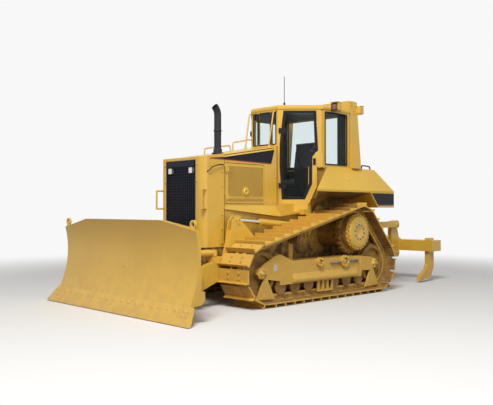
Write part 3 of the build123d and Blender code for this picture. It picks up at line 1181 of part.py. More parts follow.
with BuildPart() as angle_rod:
    rod(angle_point(ANGLE_BASE), angle_point(ANGLE_EYE), (0, 0, 1), ANGLE_ROD_RADIUS, ANGLE_ROD_LENGTH,
        ANGLE_EYE_RADIUS, ANGLE_EYE_WIDTH)
save_pair(angle_rod, "angle_rod")

TILT_FROM = (TILT_STATION, *TILT_BASE)
TILT_TO = (TILT_STATION, *TILT_EYE)

with BuildPart() as tilt_barrel:
    barrel(TILT_FROM, TILT_TO, (1, 0, 0), TILT_BARREL_RADIUS, TILT_ROD_RADIUS, TILT_GLAND, TILT_EYE_RADIUS,
           TILT_EYE_WIDTH, TILT_PIN_RADIUS)
save(tilt_barrel, "tilt_barrel")

with BuildPart() as tilt_rod:
    rod(TILT_FROM, TILT_TO, (1, 0, 0), TILT_ROD_RADIUS, TILT_ROD_LENGTH, TILT_EYE_RADIUS, TILT_EYE_WIDTH)
save(tilt_rod, "tilt_rod")

# Blade: curved sheet with end plates, ribs, back beams, tilt socket and tilt lug
CURVE_LOW, CURVE_DEEP, CURVE_TOP = BLADE_CURVE
TOP_CUT = (
    (BLADE_FLAT_HALF, BLADE_TOP),
    (BLADE_HALF + 50, BLADE_END_TOP - 50 * (BLADE_TOP - BLADE_END_TOP) / (BLADE_HALF - BLADE_FLAT_HALF)),
    (BLADE_HALF + 50, BLADE_TOP + 50), (BLADE_FLAT_HALF, BLADE_TOP + 50),
)


def blade_sheet(y, width, back):
    """Curved outline of the blade's face, as deep as back, extruded to the right."""
    with BuildSketch(side_plane(y)) as section:
        with BuildLine():
            face = ThreePointArc(CURVE_LOW, CURVE_DEEP, CURVE_TOP)
            Line(face @ 1, (CURVE_TOP[0] - BLADE_SHEET, CURVE_TOP[1]))
            if back:
                Line((CURVE_TOP[0] - BLADE_SHEET, CURVE_TOP[1]), (back, CURVE_TOP[1] - 160))
                Line((back, CURVE_TOP[1] - 160), (back, CURVE_LOW[1] + 60))
                Line((back, CURVE_LOW[1] + 60), (CURVE_LOW[0] - BLADE_SHEET, CURVE_LOW[1] - 17))
            else:
                ThreePointArc((CURVE_TOP[0] - BLADE_SHEET, CURVE_TOP[1]),
                              (CURVE_DEEP[0] - BLADE_SHEET, CURVE_DEEP[1]),
                              (CURVE_LOW[0] - BLADE_SHEET, CURVE_LOW[1] - 17))
            Line((CURVE_LOW[0] - BLADE_SHEET, CURVE_LOW[1] - 17), face @ 0)
        make_face()
    extrude(section.sketch, amount=width)


LOW_BEAM = (
    (CURVE_LOW[0] - 40, CURVE_LOW[1] - 10), (RIB_BACK + 40, CURVE_LOW[1] + 5),
    (RIB_BACK - 5, CURVE_LOW[1] + 60),
    (RIB_BACK - 5, CURVE_LOW[1] + 155), (CURVE_LOW[0] - 72, CURVE_LOW[1] + 175),
)
TOP_BEAM = (
    (CURVE_TOP[0] - 15, BLADE_TOP), (CURVE_TOP[0] - 80, BLADE_TOP), (CURVE_TOP[0] - 150, BLADE_TOP - 75),
    (CURVE_TOP[0] - 120, BLADE_TOP - 110), (CURVE_TOP[0] - 42, BLADE_TOP - 110),
)
SOCKET_FRONT = CURVE_DEEP[0] + 15.0
SOCKET_GUSSET = (
    (CURVE_DEEP[0] - 12, SWIVEL_Z + 140), (RIB_BACK, SWIVEL_Z + 140), (RIB_BACK, SWIVEL_Z - 180),
    (RIB_BACK + 40, SWIVEL_Z - 240), (CURVE_DEEP[0] + 65, SWIVEL_Z - 180), (CURVE_DEEP[0] + 22, SWIVEL_Z),
)
SOCKET_HALF = 190.0
SOCKET_BORE_END = YOKE_FRONT + 106.0
LUG_HALF = TILT_ROD_RADIUS + RUN_GAP
LUG_BACK = 1330.0
LUG_FRONT = CURVE_DEEP[0] + 8.0
LUG_RISE = 60.0
LUG_INNER_Y = TILT_EYE[0] - 45.0
LUG_OUTER_Y = TILT_EYE[0] + 82.0
LUG_STOP_Y = TILT_EYE[0] + 52.0
CUT_FRONT = CURVE_LOW[0] + 4 * BLADE_SHEET
CUT_BACK = BLADE_BACK - 45.0

with BuildPart() as blade:
    blade_sheet(BLADE_HALF, 2 * BLADE_HALF, None)
    side_plate(LOW_BEAM, -BLADE_HALF, BLADE_HALF)
    side_plate(TOP_BEAM, -BLADE_HALF, BLADE_HALF)
    for share in RIB_SHARES:
        for y in (share * BLADE_HALF, WALL - share * BLADE_HALF):
            blade_sheet(y, WALL, RIB_BACK)
    for y in (BLADE_HALF, WALL - BLADE_HALF):
        blade_sheet(y, WALL, END_PLATE_BACK)
    bar((BLADE_BACK, 0, SWIVEL_Z), (SOCKET_FRONT, 0, SWIVEL_Z), TRUNNION_SHAFT + 50)
    side_plate(SOCKET_GUSSET, -SOCKET_HALF, SOCKET_HALF)
    bar((BLADE_BACK - 10, 0, SWIVEL_Z), (SOCKET_BORE_END, 0, SWIVEL_Z), TRUNNION_SHAFT + PIN_GAP,
        Mode.SUBTRACT)
    lug_heights = (TILT_EYE[1] - LUG_RISE, TILT_EYE[1] + LUG_RISE)
    block((LUG_BACK, LUG_FRONT), (LUG_STOP_Y, LUG_OUTER_Y), lug_heights)
    block((TILT_STATION + LUG_HALF, LUG_FRONT), (LUG_INNER_Y, LUG_OUTER_Y), lug_heights)
    block((LUG_BACK, TILT_STATION - LUG_HALF), (LUG_INNER_Y, LUG_OUTER_Y), lug_heights)
    front_plate(TOP_CUT, CUT_BACK, CUT_FRONT, Mode.SUBTRACT)
    front_plate(tuple((-y, z) for y, z in TOP_CUT), CUT_BACK, CUT_FRONT, Mode.SUBTRACT)
save(blade, "blade")

# Cutting edge in the blade's plane, with end bits that flare out
EDGE_TOP = (CURVE_LOW[0] - SEAT_GAP, CURVE_LOW[1] - SEAT_GAP)
EDGE = (EDGE_TOP, (FRONT_REACH, EDGE_TIP), (FRONT_REACH - EDGE_SHEET - 8, EDGE_TIP),
        (CURVE_LOW[0] - BLADE_SHEET, CURVE_LOW[1] - 17 - SEAT_GAP))
END_BIT_HALF = BLADE_HALF + END_BIT_FLARE
END_BIT_INNER = END_BIT_HALF - END_BIT_WIDTH
FLARE = (
    (BLADE_HALF + END_BIT_STEP, CURVE_LOW[1] + 10), (END_BIT_HALF, EDGE_TIP), (END_BIT_HALF + 50, EDGE_TIP),
    (END_BIT_HALF + 50, CURVE_LOW[1] + 10),
)

with BuildPart() as cutting_edge:
    side_plate(EDGE, -END_BIT_INNER, END_BIT_INNER)
    for side in (-1, 1):
        bit = sorted((side * (END_BIT_INNER + SEAT_GAP), side * END_BIT_HALF))
        side_plate(EDGE, bit[0], bit[1])
        front_plate(tuple((side * y, z) for y, z in FLARE), CUT_BACK, FRONT_REACH + 10, Mode.SUBTRACT)
save(cutting_edge, "cutting_edge")

EYE_Y = BLADE_HALF - EYE_INSET
EYE_BASE = BLADE_TOP - (EYE_Y - BLADE_FLAT_HALF) * (BLADE_TOP - BLADE_END_TOP) / (BLADE_HALF - BLADE_FLAT_HALF)
EYE_Z = EYE_BASE + EYE_RADIUS + 12

with BuildPart() as lifting_eyes:
    bar((EYE_STATION - EYE_PLATE / 2, EYE_Y, EYE_Z), (EYE_STATION + EYE_PLATE / 2, EYE_Y, EYE_Z), EYE_RADIUS)
    block((EYE_STATION - EYE_PLATE / 2, EYE_STATION + EYE_PLATE / 2), (EYE_Y - 35, EYE_Y + 35),
          (EYE_BASE - 20, EYE_Z))
    front_plate(tuple((y, z + SEAT_GAP) for y, z in TOP_CUT), EYE_STATION - 50, EYE_STATION + 50,
                Mode.INTERSECT)
    bar((EYE_STATION - 50, EYE_Y, EYE_Z), (EYE_STATION + 50, EYE_Y, EYE_Z), EYE_BORE, Mode.SUBTRACT)
    mirror(about=Plane.XZ)
save(lifting_eyes, "lifting_eyes")

# Ripper mount on the hull's rear, with pins for the links and lugs for the cylinders
MOUNT_PLATE = (
    (HULL_REAR - SEAT_GAP, LINK_HIGH + 90), (RIP_BASE[0] - 60, LINK_HIGH + 75),
    (RIP_BASE[0] - 60, LINK_HIGH - 55),
    (RIPPER_FRONT - 70, LINK_LOW + 120), (RIPPER_FRONT - 70, LINK_LOW - 65),
    (HULL_REAR - SEAT_GAP, LINK_LOW + 20),
)
RIP_LUG = RIP_Y - RIP_EYE_WIDTH / 2 - 4
RIP_LUG_PLATE = ((HULL_REAR - SEAT_GAP, LINK_HIGH + 75), (RIP_BASE[0] - 60, LINK_HIGH + 75),
                 (RIP_BASE[0] - 60, LINK_HIGH - 55),
                 (HULL_REAR - SEAT_GAP, LINK_HIGH - 160))

with BuildPart() as ripper_mount:
    side_plate(MOUNT_PLATE, MOUNT_INNER, MOUNT_OUTER)
    side_plate(RIP_LUG_PLATE, MOUNT_LUG, RIP_LUG)
    for place in ((RIPPER_FRONT, LINK_LOW), (RIPPER_FRONT, LINK_HIGH)):
        cross_bar(place, MOUNT_INNER, LINK_OUTER, LINK_PIN_RADIUS)
    cross_bar(RIP_BASE, MOUNT_LUG, MOUNT_INNER + 5, RIP_PIN_RADIUS)
    mirror(about=Plane.XZ)
    block((HULL_REAR - 40, HULL_REAR - SEAT_GAP), (-MOUNT_OUTER, MOUNT_OUTER),
          (BAY_FLOOR + 5, LINK_HIGH + 90))
save(ripper_mount, "ripper_mount")


def link_bar(z, tie=None):
    """Pair of bored link bars between the mount's pin and the carriage's pin."""
    for place in ((RIPPER_FRONT, z), (RIPPER_BACK, z)):
        cross_bar(place, LINK_INNER, LINK_OUTER, LINK_EYE_RADIUS)
    block((RIPPER_BACK, RIPPER_FRONT), (LINK_INNER, LINK_OUTER), (z - LINK_BAR / 2, z + LINK_BAR / 2))
    mirror(about=Plane.XZ)
    if tie:
        cross_bar((tie, z), -LINK_INNER - 5, LINK_INNER + 5, LINK_BAR * 0.45)
    for place in ((RIPPER_FRONT, z), (RIPPER_BACK, z)):
        cross_bar(place, -LINK_OUTER - 10, LINK_OUTER + 10, LINK_PIN_RADIUS + PIN_GAP, Mode.SUBTRACT)


with BuildPart() as ripper_lower_link:
    link_bar(LINK_LOW, tie=(RIPPER_FRONT + RIPPER_BACK) / 2 + 60)
save(ripper_lower_link, "ripper_lower_link")

with BuildPart() as ripper_upper_links:
    link_bar(LINK_HIGH)
save(ripper_upper_links, "ripper_upper_links")

# Ripper beam with uprights for the links, cylinder lugs and pockets for the shanks
BEAM_FACE = -REAR_REACH + RIP_BEAM_DEPTH
SHANK_MIDDLE = -REAR_REACH + RIP_BEAM_DEPTH / 2
UPRIGHT = (
    (BEAM_FACE - 10, RIP_BEAM_LOW), (RIPPER_BACK + 70, LINK_LOW - 75), (RIPPER_BACK + 75, LINK_HIGH + 60),
    (RIPPER_BACK - 60, LINK_HIGH + 75), (BEAM_FACE - 10, RIP_BEAM_HIGH + 40),
    (BEAM_FACE - 120, RIP_BEAM_HIGH - 5),
    (BEAM_FACE - 120, RIP_BEAM_LOW),
)
RIP_CLEVIS = ((BEAM_FACE - 10, RIP_BEAM_LOW + 20), (RIP_EYE[0] + 75, RIP_EYE[1] - 60),
              (RIP_EYE[0] + 75, RIP_EYE[1] + 60),
              (BEAM_FACE - 10, RIP_BEAM_HIGH - 20))

with BuildPart() as ripper_beam:
    side_plate(UPRIGHT, MOUNT_INNER, MOUNT_OUTER)
    side_plate(RIP_CLEVIS, MOUNT_LUG, RIP_LUG)
    for place in ((RIPPER_BACK, LINK_LOW), (RIPPER_BACK, LINK_HIGH)):
        cross_bar(place, MOUNT_INNER, LINK_OUTER, LINK_PIN_RADIUS)
    mirror(about=Plane.XZ)
    block((-REAR_REACH, BEAM_FACE), (-RIP_BEAM_HALF, RIP_BEAM_HALF), (RIP_BEAM_LOW, RIP_BEAM_HIGH))
    for y in SHANK_PLACES:
        block((SHANK_MIDDLE - SHANK_WIDTH / 2 - SEAT_GAP, SHANK_MIDDLE + SHANK_WIDTH / 2 + SEAT_GAP),
              (y - SHANK_THICKNESS / 2 - SEAT_GAP, y + SHANK_THICKNESS / 2 + SEAT_GAP),
              (RIP_BEAM_LOW - 10, RIP_BEAM_HIGH + 10), Mode.SUBTRACT)
save(ripper_beam, "ripper_beam")

SHANK_FRONT = SHANK_MIDDLE + SHANK_WIDTH / 2
SHANK = (
    (SHANK_FRONT, SHANK_TOP), (SHANK_FRONT, 330), (SHANK_FRONT + 60, 230),
    (SHANK_MIDDLE + SHANK_LEAD + 20, 110),
    (SHANK_MIDDLE + SHANK_LEAD + 60, SHANK_TIP), (SHANK_MIDDLE + SHANK_LEAD - 40, SHANK_TIP + 10),
    (SHANK_FRONT - 80, 90),
    (SHANK_MIDDLE - SHANK_WIDTH / 2, 260), (SHANK_MIDDLE - SHANK_WIDTH / 2, SHANK_TOP),
)

with BuildPart() as ripper_shanks:
    for y in SHANK_PLACES:
        side_plate(SHANK, y - SHANK_THICKNESS / 2, y + SHANK_THICKNESS / 2)
save(ripper_shanks, "ripper_shanks")


def ripper_point(place):
    """A ripper cylinder's pin as station, Y and height."""
    return (place[0], RIP_Y, place[1])


with BuildPart() as ripper_barrels:
    barrel(ripper_point(RIP_BASE), ripper_point(RIP_EYE), (0, 1, 0), RIP_BARREL_RADIUS, RIP_ROD_RADIUS,
           RIP_GLAND,
           RIP_EYE_RADIUS, RIP_EYE_WIDTH, RIP_PIN_RADIUS, neck=60.0)
    mirror(about=Plane.XZ)
save(ripper_barrels, "ripper_barrels")

with BuildPart() as ripper_rods:
    rod(ripper_point(RIP_BASE), ripper_point(RIP_EYE), (0, 1, 0), RIP_ROD_RADIUS, RIP_ROD_LENGTH,
        RIP_EYE_RADIUS, RIP_EYE_WIDTH)
    mirror(about=Plane.XZ)
save(ripper_rods, "ripper_rods")
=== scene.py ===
"""Looks of a bulldozer with an angling blade and a rear ripper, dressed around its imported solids."""

from __future__ import annotations

import json
import logging
import math
from dataclasses import dataclass, field
from enum import Enum
from typing import Any, Iterable, Sequence

import bmesh
import bpy
from mathutils import Matrix, Vector

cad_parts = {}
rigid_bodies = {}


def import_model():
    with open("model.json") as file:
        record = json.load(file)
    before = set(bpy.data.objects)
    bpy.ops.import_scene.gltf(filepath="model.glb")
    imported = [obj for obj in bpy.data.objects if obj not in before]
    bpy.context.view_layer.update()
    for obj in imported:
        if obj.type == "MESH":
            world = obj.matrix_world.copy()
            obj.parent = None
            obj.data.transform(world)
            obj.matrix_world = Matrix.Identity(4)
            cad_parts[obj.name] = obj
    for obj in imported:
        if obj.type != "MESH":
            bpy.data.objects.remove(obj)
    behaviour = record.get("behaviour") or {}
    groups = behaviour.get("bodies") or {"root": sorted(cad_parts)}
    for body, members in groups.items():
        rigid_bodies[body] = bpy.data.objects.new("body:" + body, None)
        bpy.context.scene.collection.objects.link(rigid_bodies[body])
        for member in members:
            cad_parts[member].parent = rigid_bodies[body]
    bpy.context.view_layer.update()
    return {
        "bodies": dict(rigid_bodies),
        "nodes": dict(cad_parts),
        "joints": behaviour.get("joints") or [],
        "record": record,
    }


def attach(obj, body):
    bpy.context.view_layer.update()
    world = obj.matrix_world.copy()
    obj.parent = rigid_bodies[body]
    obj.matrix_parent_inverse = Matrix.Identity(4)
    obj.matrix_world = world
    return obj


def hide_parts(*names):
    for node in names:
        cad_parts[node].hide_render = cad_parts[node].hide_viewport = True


Colour = tuple[float, float, float]
Point = tuple[float, float, float]
Pair = tuple[float, float]
Outline = Sequence[Pair]
Shoe = tuple[Vector, float]
Ring = Sequence[bmesh.types.BMVert]

LOG = logging.getLogger("bulldozer")
DATUM_X = 1.5095
AHEAD = Vector((1, 0, 0))
BACK = Vector((-1, 0, 0))
LEFT = Vector((0, 1, 0))
UP = Vector((0, 0, 1))
SKEW = math.sqrt(0.5)
DOOR_RUN = Vector((-SKEW, SKEW, 0))
DOOR_OUT = Vector((SKEW, SKEW, 0))
# Texture scales in cells per metre
TONE_CELLS = 1.7
PATCH_CELLS = 9.0
GRAIN_CELLS = 35.0
CRUMB_CELLS = 70.0
PEEL_CELLS = 260.0


def at(station: float, y: float, z: float) -> Vector:
    """Point in the row frame from a station measured forward of the front idler's axle."""
    return Vector((DATUM_X + station, y, z))


def toned(tint: Colour, share: float) -> Colour:
    """Colour with every part multiplied by a share."""
    return tuple(share * part for part in tint)


def oblong(half_width: float, half_height: float) -> list[Pair]:
    """Corners of an upright rectangle around the origin."""
    u, v = half_width, half_height
    return [(-u, -v), (u, -v), (u, v), (-u, v)]


class Slot(Enum):
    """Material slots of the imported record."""

    YELLOW = "yellow_paint"
    TRACK = "track_paint"
    BLACK = "black_paint"
    CAST = "cast_metal"
    LENS = "lamp_lens"
    SEAT = "seat_cover"
    PLASTIC = "dark_plastic"


class Body(Enum):
    """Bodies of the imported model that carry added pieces."""

    CHASSIS = "chassis"
    PUSH = "push_frame"
    BLADE = "blade"
    HATCH_LEFT = "engine_door_left"
    HATCH_RIGHT = "engine_door_right"
    RIPPER = "ripper_beam"


class Wire:
    """A shader socket whose arithmetic adds Math nodes."""

    def __init__(self, graph: Graph, socket: bpy.types.NodeSocket) -> None:
        """Keep the socket with the graph that it belongs to."""
        self.graph = graph
        self.socket = socket

    def __add__(self, other: Wire | float) -> Wire:
        """Sum."""
        return self.graph.math("ADD", self, other)

    def __radd__(self, other: float) -> Wire:
        """Sum with a number first."""
        return self.graph.math("ADD", other, self)

    def __sub__(self, other: Wire | float) -> Wire:
        """Difference."""
        return self.graph.math("SUBTRACT", self, other)

    def __rsub__(self, other: float) -> Wire:
        """Difference from a number."""
        return self.graph.math("SUBTRACT", other, self)

    def __mul__(self, other: Wire | float) -> Wire:
        """Product."""
        return self.graph.math("MULTIPLY", self, other)

    def __rmul__(self, other: float) -> Wire:
        """Product with a number first."""
        return self.graph.math("MULTIPLY", other, self)

    def __abs__(self) -> Wire:
        """Size without its sign."""
        return self.graph.math("ABSOLUTE", self, 0.0)

    def most(self, other: Wire) -> Wire:
        """Larger of two values."""
        return self.graph.math("MAXIMUM", self, other)

    def over(self, low: float, high: float) -> Wire:
        """Smooth step from 0 at low to 1 at high."""
        sockets = {"Value": self, "From Min": low, "From Max": high}
        return self.graph.add("ShaderNodeMapRange", {"interpolation_type": "SMOOTHSTEP"}, sockets)


class Graph:
    """A node tree to which nodes are added by type, settings and sockets."""

    def __init__(self, tree: bpy.types.NodeTree) -> None:
        """Keep the tree."""
        self.tree = tree

    def add(self, kind: str, settings: dict[str, Any] | None = None, sockets: dict[Any, Any] | None = None,
            out: int | str = 0) -> Wire | None:
        """Add a node.

        Args:
            kind: Blender's name of the node's type.
            settings: Attributes, which are set first.
            sockets: Values or wires by socket name or number.
            out: Output that is handed back.

        Returns:
            The wire of that output, or None from a node that has none.
        """
        node = self.tree.nodes.new(kind)
        for name, value in (settings or {}).items():
            setattr(node, name, value)
        for name, value in (sockets or {}).items():
            if isinstance(value, Wire):
                self.tree.links.new(value.socket, node.inputs[name])
            else:
                node.inputs[name].default_value = value
        return Wire(self, node.outputs[out]) if len(node.outputs) else None

    def math(self, operation: str, first: Wire | float, second: Wire | float) -> Wire:
        """Add a Math node of two values."""
        return self.add("ShaderNodeMath", {"operation": operation}, {0: first, 1: second})

    def mix(self, factor: Wire, first: Wire | Colour, second: Wire | Colour) -> Wire:
        """Mix two colours by the share of the second."""
        ends = [end if isinstance(end, Wire) else (*end, 1.0) for end in (first, second)]
        return self.add("ShaderNodeMix", {"data_type": "RGBA"}, {0: factor, 6: ends[0], 7: ends[1]}, out=2)

    def place(self) -> Wire:
        """Object coordinates."""
        return self.add("ShaderNodeTexCoord", out="Object")

    def facing(self) -> Wire:
        """Way that the surface looks, in the object's own axes."""
        return self.add("ShaderNodeTexCoord", out="Normal")

    def axes(self, vector: Wire) -> list[Wire]:
        """Three parts of a vector."""
        first = self.add("ShaderNodeSeparateXYZ", None, {0: vector})
        return [Wire(self, socket) for socket in first.socket.node.outputs]

    def noise(self, place: Wire, scale: float, detail: float) -> Wire:
        """Noise between 0 and 1 at a scale in cells per metre."""
        return self.add("ShaderNodeTexNoise", None, {"Vector": place, "Scale": scale, "Detail": detail})

    def bump(self, height: Wire, strength: float, distance: float) -> Wire:
        """Normal from a height."""
        sockets = {"Height": height, "Strength": strength, "Distance": distance}
        return self.add("ShaderNodeBump", None, sockets)

    def patches(self, place: Wire, low: float = 0.34, high: float = 0.68) -> Wire:
        """Ragged patches where a noise rises from low to high."""
        return self.noise(place, PATCH_CELLS, 6.0).over(low, high)

    def crumbs(self, place: Wire) -> Wire:
        """Fine lumps of earth."""
        return self.noise(place, CRUMB_CELLS, 4.0)

    def grain(self, place: Wire) -> Wire:
        """Small changes of roughness."""
        return self.noise(place, GRAIN_CELLS, 3.0) * 0.12

    def paint(self, place: Wire, tint: Colour) -> Wire:
        """Colour of paint with slow, faint changes of tone."""
        tone = self.noise(place, TONE_CELLS, 3.0).over(0.3, 0.7)
        return self.mix(tone * 0.55, tint, toned(tint, 0.86))

    def peel(self, place: Wire) -> Wire:
        """Normal of sprayed paint with orange peel."""
        return self.bump(self.noise(place, PEEL_CELLS, 1.0), 0.06, 0.0008)

    def principled(self, sockets: dict[str, Any]) -> Wire:
        """Principled shader with these values and links."""
        return self.add("ShaderNodeBsdfPrincipled", None, sockets)


class Finish:
    """Base of the finishes: an empty material with a surface shader."""

    name: str
    slot: Slot = Slot.YELLOW

    def material(self) -> bpy.types.Material:
        """The finish's material, made on first use."""
        found = bpy.data.materials.get(self.name)
        if found:
            return found
        made = bpy.data.materials.new(self.name)
        made.use_nodes = True
        made.node_tree.nodes.clear()
        graph = Graph(made.node_tree)
        graph.add("ShaderNodeOutputMaterial", None, {"Surface": self.surface(graph)})
        return made

    def surface(self, graph: Graph) -> Wire:
        """Surface shader of the finish."""
        raise NotImplementedError


@dataclass(frozen=True)
class Enamel(Finish):
    """Sprayed enamel with faint tone changes, orange peel and a darker film low down: dust, and on the hull
    painted shade.
    """

    name: str
    tint: Colour
    slot: Slot = Slot.YELLOW
    roughness: float = 0.34
    dust_and_shade: Colour = (0.36, 0.20, 0.10)
    dust_and_shade_amount: float = 0.35
    dust_and_shade_top: float = 0.9
    coat: float = 0.25
    gloss: float = 0.5

    def surface(self, graph: Graph) -> Wire:
        """Tone, the dust and painted shade low down, and peel into one shader."""
        place = graph.place()
        _, _, height = graph.axes(place)
        low = 1.0 - height.over(0.02, self.dust_and_shade_top)
        # Darker film low down: dust, and where its colour is dark brown and its amount above one, as on the
        # hull, painted shade.
        film = low * (graph.patches(place, 0.35, 0.72) * 0.7 + 0.3) * self.dust_and_shade_amount
        return graph.principled({
            "Base Color": graph.mix(film, graph.paint(place, self.tint), self.dust_and_shade),
            "Roughness": graph.grain(place) + film * 0.4 + (self.roughness - 0.06),
            "Coat Weight": self.coat, "Coat Roughness": 0.18, "Specular IOR Level": self.gloss,
            "Normal": graph.peel(place)})


@dataclass(frozen=True)
class TroddenAndShaded(Finish):
    """Yellow paint with a thin film of brown earth, and painted brown shade on faces that look into the
    track's loop.
    """

    name: str
    paint: Colour = (0.74, 0.445, 0.075)
    # Brown of the earth film and of the painted shade.
    brown_tint: Colour = (0.17, 0.080, 0.030)
    middle: Pair = (0.22, 0.56)
    stretch: float = 0.45
    turn: Pair = (-0.40, -0.14)
    most: float = 0.92
    film: float = 0.22
    roughness: float = 0.55

    def surface(self, graph: Graph) -> Wire:
        """Painted shade by the way a face looks, and a thin film of earth, broken up by patches."""
        place = graph.place()
        along, _, height = graph.axes(place)
        ahead, _, up = graph.axes(graph.facing())
        # Faces that look into the track's loop get painted brown shade; the thin film below is earth.
        out = ahead * (along - self.middle[0]) * self.stretch + up * (height - self.middle[1])
        inside = 1.0 - out.over(*self.turn)
        patches, crumbs = graph.patches(place), graph.crumbs(place)
        thin = (patches * 0.75 + 0.25) * self.film * (1.0 - height.over(0.0, 1.3) * 0.5)
        brown_share = (inside * (patches * 0.25 + (self.most - 0.25))).most(thin)
        earth_and_shade_colour = graph.mix(crumbs.over(0.35, 0.65), self.brown_tint, toned(self.brown_tint, 0.6))
        return graph.principled({
            "Base Color": graph.mix(brown_share, self.paint, earth_and_shade_colour),
            "Roughness": brown_share * 0.3 + crumbs * 0.1 + (self.roughness - 0.1),
            "Normal": graph.bump(crumbs * brown_share, 0.3, 0.004)})


@dataclass(frozen=True)
class Banded(Finish):
    """Brown earth on what lies within a reach of the machine's middle plane, and yellow paint outside it."""

    name: str
    slot: Slot = Slot.TRACK
    paint: Colour = (0.70, 0.43, 0.06)
    brown_tint: Colour = (0.17, 0.080, 0.030)
    reach: float = 1.083
    blur: float = 0.004

    def surface(self, graph: Graph) -> Wire:
        """Earth inside the reach, a thin film outside."""
        place = graph.place()
        _, across, _ = graph.axes(place)
        near = 1.0 - abs(across).over(self.reach - self.blur, self.reach + self.blur)
        patches, crumbs = graph.patches(place), graph.crumbs(place)
        brown_share = near * (patches * 0.3 + 0.62) + (1.0 - near) * patches * 0.12
        return graph.principled({
            "Base Color": graph.mix(brown_share, self.paint, self.brown_tint), "Roughness": brown_share * 0.35 + 0.38,
            "Normal": graph.bump(crumbs * brown_share, 0.3, 0.004)})


@dataclass(frozen=True)
class PaintedShadeSheet(Finish):
    """Yellow sheet with painted brown shade on faces that look down or ahead and on what is near the middle
    plane.
    """

    name: str
    paint: Colour = (0.74, 0.455, 0.055)
    # Brown of the painted shade.
    brown_tint: Colour = (0.075, 0.036, 0.014)
    inner: float = 0.70
    top: float = 1.995

    def surface(self, graph: Graph) -> Wire:
        """Painted shade by the way a face looks and by its distance from the machine's middle."""
        place = graph.place()
        ahead, _, up = graph.axes(graph.facing())
        _, across, height = graph.axes(place)
        # Faces that look down or ahead, and the inner wall below the top, get painted brown shade.
        down = 1.0 - up.over(-0.35, -0.05)
        wall = 1.0 - abs(across).over(self.inner - 0.02, self.inner + 0.02)
        low = 1.0 - height.over(self.top - 0.004, self.top)
        brown_share = down.most(ahead.over(0.5, 0.8)).most(wall * low)
        share = brown_share * (graph.patches(place) * 0.2 + 0.78)
        return graph.principled({
            "Base Color": graph.mix(share, graph.paint(place, self.paint), self.brown_tint),
            "Roughness": brown_share * 0.3 + graph.grain(place) + 0.40, "Specular IOR Level": 0.35,
            "Normal": graph.peel(place)})


@dataclass(frozen=True)
class Steel(Finish):
    """Plated steel with fine drawn marks and soft stains."""

    name: str
    tint: Colour
    roughness: float = 0.16
    stain: Colour = (0.12, 0.08, 0.05)
    stain_amount: float = 0.05
    grain: Point = (40.0, 260.0, 260.0)

    def surface(self, graph: Graph) -> Wire:
        """Grain and stains over metal."""
        place = graph.place()
        drawn = graph.add("ShaderNodeMapping", None, {"Vector": place, "Scale": self.grain})
        marks = graph.noise(drawn, 1.0, 4.0)
        spots = graph.noise(place, 14.0, 5.0).over(0.45, 0.75)
        return graph.principled({
            "Base Color": graph.mix(spots * self.stain_amount, self.tint, self.stain),
            "Roughness": marks * 0.16 + spots * 0.2 + (self.roughness - 0.08),
            "Metallic": 1.0 - spots * (self.stain_amount * 0.8), "Normal": graph.bump(marks, 0.08, 0.0006)})


@dataclass(frozen=True)
class Glass(Finish):
    """Clear safety glass with a faint tint."""

    name: str
    tint: Colour = (0.86, 0.92, 0.93)

    def surface(self, graph: Graph) -> Wire:
        """Thin film of dust in the roughness of a clear pane."""
        haze = graph.noise(graph.place(), 6.0, 4.0).over(0.4, 0.8)
        return graph.principled({
            "Base Color": (*self.tint, 1.0), "Roughness": haze * 0.05 + 0.01, "Transmission Weight": 1.0,
            "IOR": 1.15})


@dataclass(frozen=True)
class Moulding(Finish):
    """Textured plastic, rubber or vinyl with a pebbled grain."""

    name: str
    tint: Colour
    slot: Slot = Slot.PLASTIC
    roughness: float = 0.6
    grain: float = 420.0
    depth: float = 0.25

    def surface(self, graph: Graph) -> Wire:
        """Pebble grain and slow tone changes."""
        place = graph.place()
        cells = graph.add("ShaderNodeTexVoronoi", None, {"Vector": place, "Scale": self.grain})
        tone = graph.noise(place, 5.0, 3.0)
        lifted = tuple(min(1.0, part * 1.5 + 0.004) for part in self.tint)
        return graph.principled({
            "Base Color": graph.mix(tone * 0.6, self.tint, lifted),
            "Roughness": tone * 0.15 + (self.roughness - 0.07), "Specular IOR Level": 0.25,
            "Normal": graph.bump(cells, self.depth, 0.0012)})


@dataclass(frozen=True)
class Lens(Finish):
    """Fluted lamp lens over a bright bowl."""

    name: str
    tint: Colour = (0.62, 0.66, 0.70)
    slot: Slot = Slot.LENS
    flute_scale: float = 34.0

    def surface(self, graph: Graph) -> Wire:
        """Flutes in a glossy shell."""
        sockets = {"Vector": graph.place(), "Scale": self.flute_scale}
        flutes = graph.add("ShaderNodeTexWave", {"bands_direction": "Y"}, sockets)
        return graph.principled({
            "Base Color": graph.mix(flutes, self.tint,
                                    toned(self.tint, 0.45)), "Roughness": flutes * 0.1 + 0.08,
            "Metallic": 0.3, "Coat Weight": 1.0, "Normal": graph.bump(flutes, 0.3, 0.002)})


YELLOW = Enamel("yellow_enamel", (0.74, 0.455, 0.055))
TRACK_YELLOW = Enamel("track_enamel", (0.70, 0.43, 0.065), Slot.TRACK, 0.5, dust_and_shade_amount=0.32, dust_and_shade_top=1.5,
                      coat=0.05)
SHOE = TroddenAndShaded("shoe_enamel")
WHEEL = Banded("wheel_enamel", reach=1.30)
DRIVE = Banded("drive_enamel")
FENDER = PaintedShadeSheet("fender_enamel")
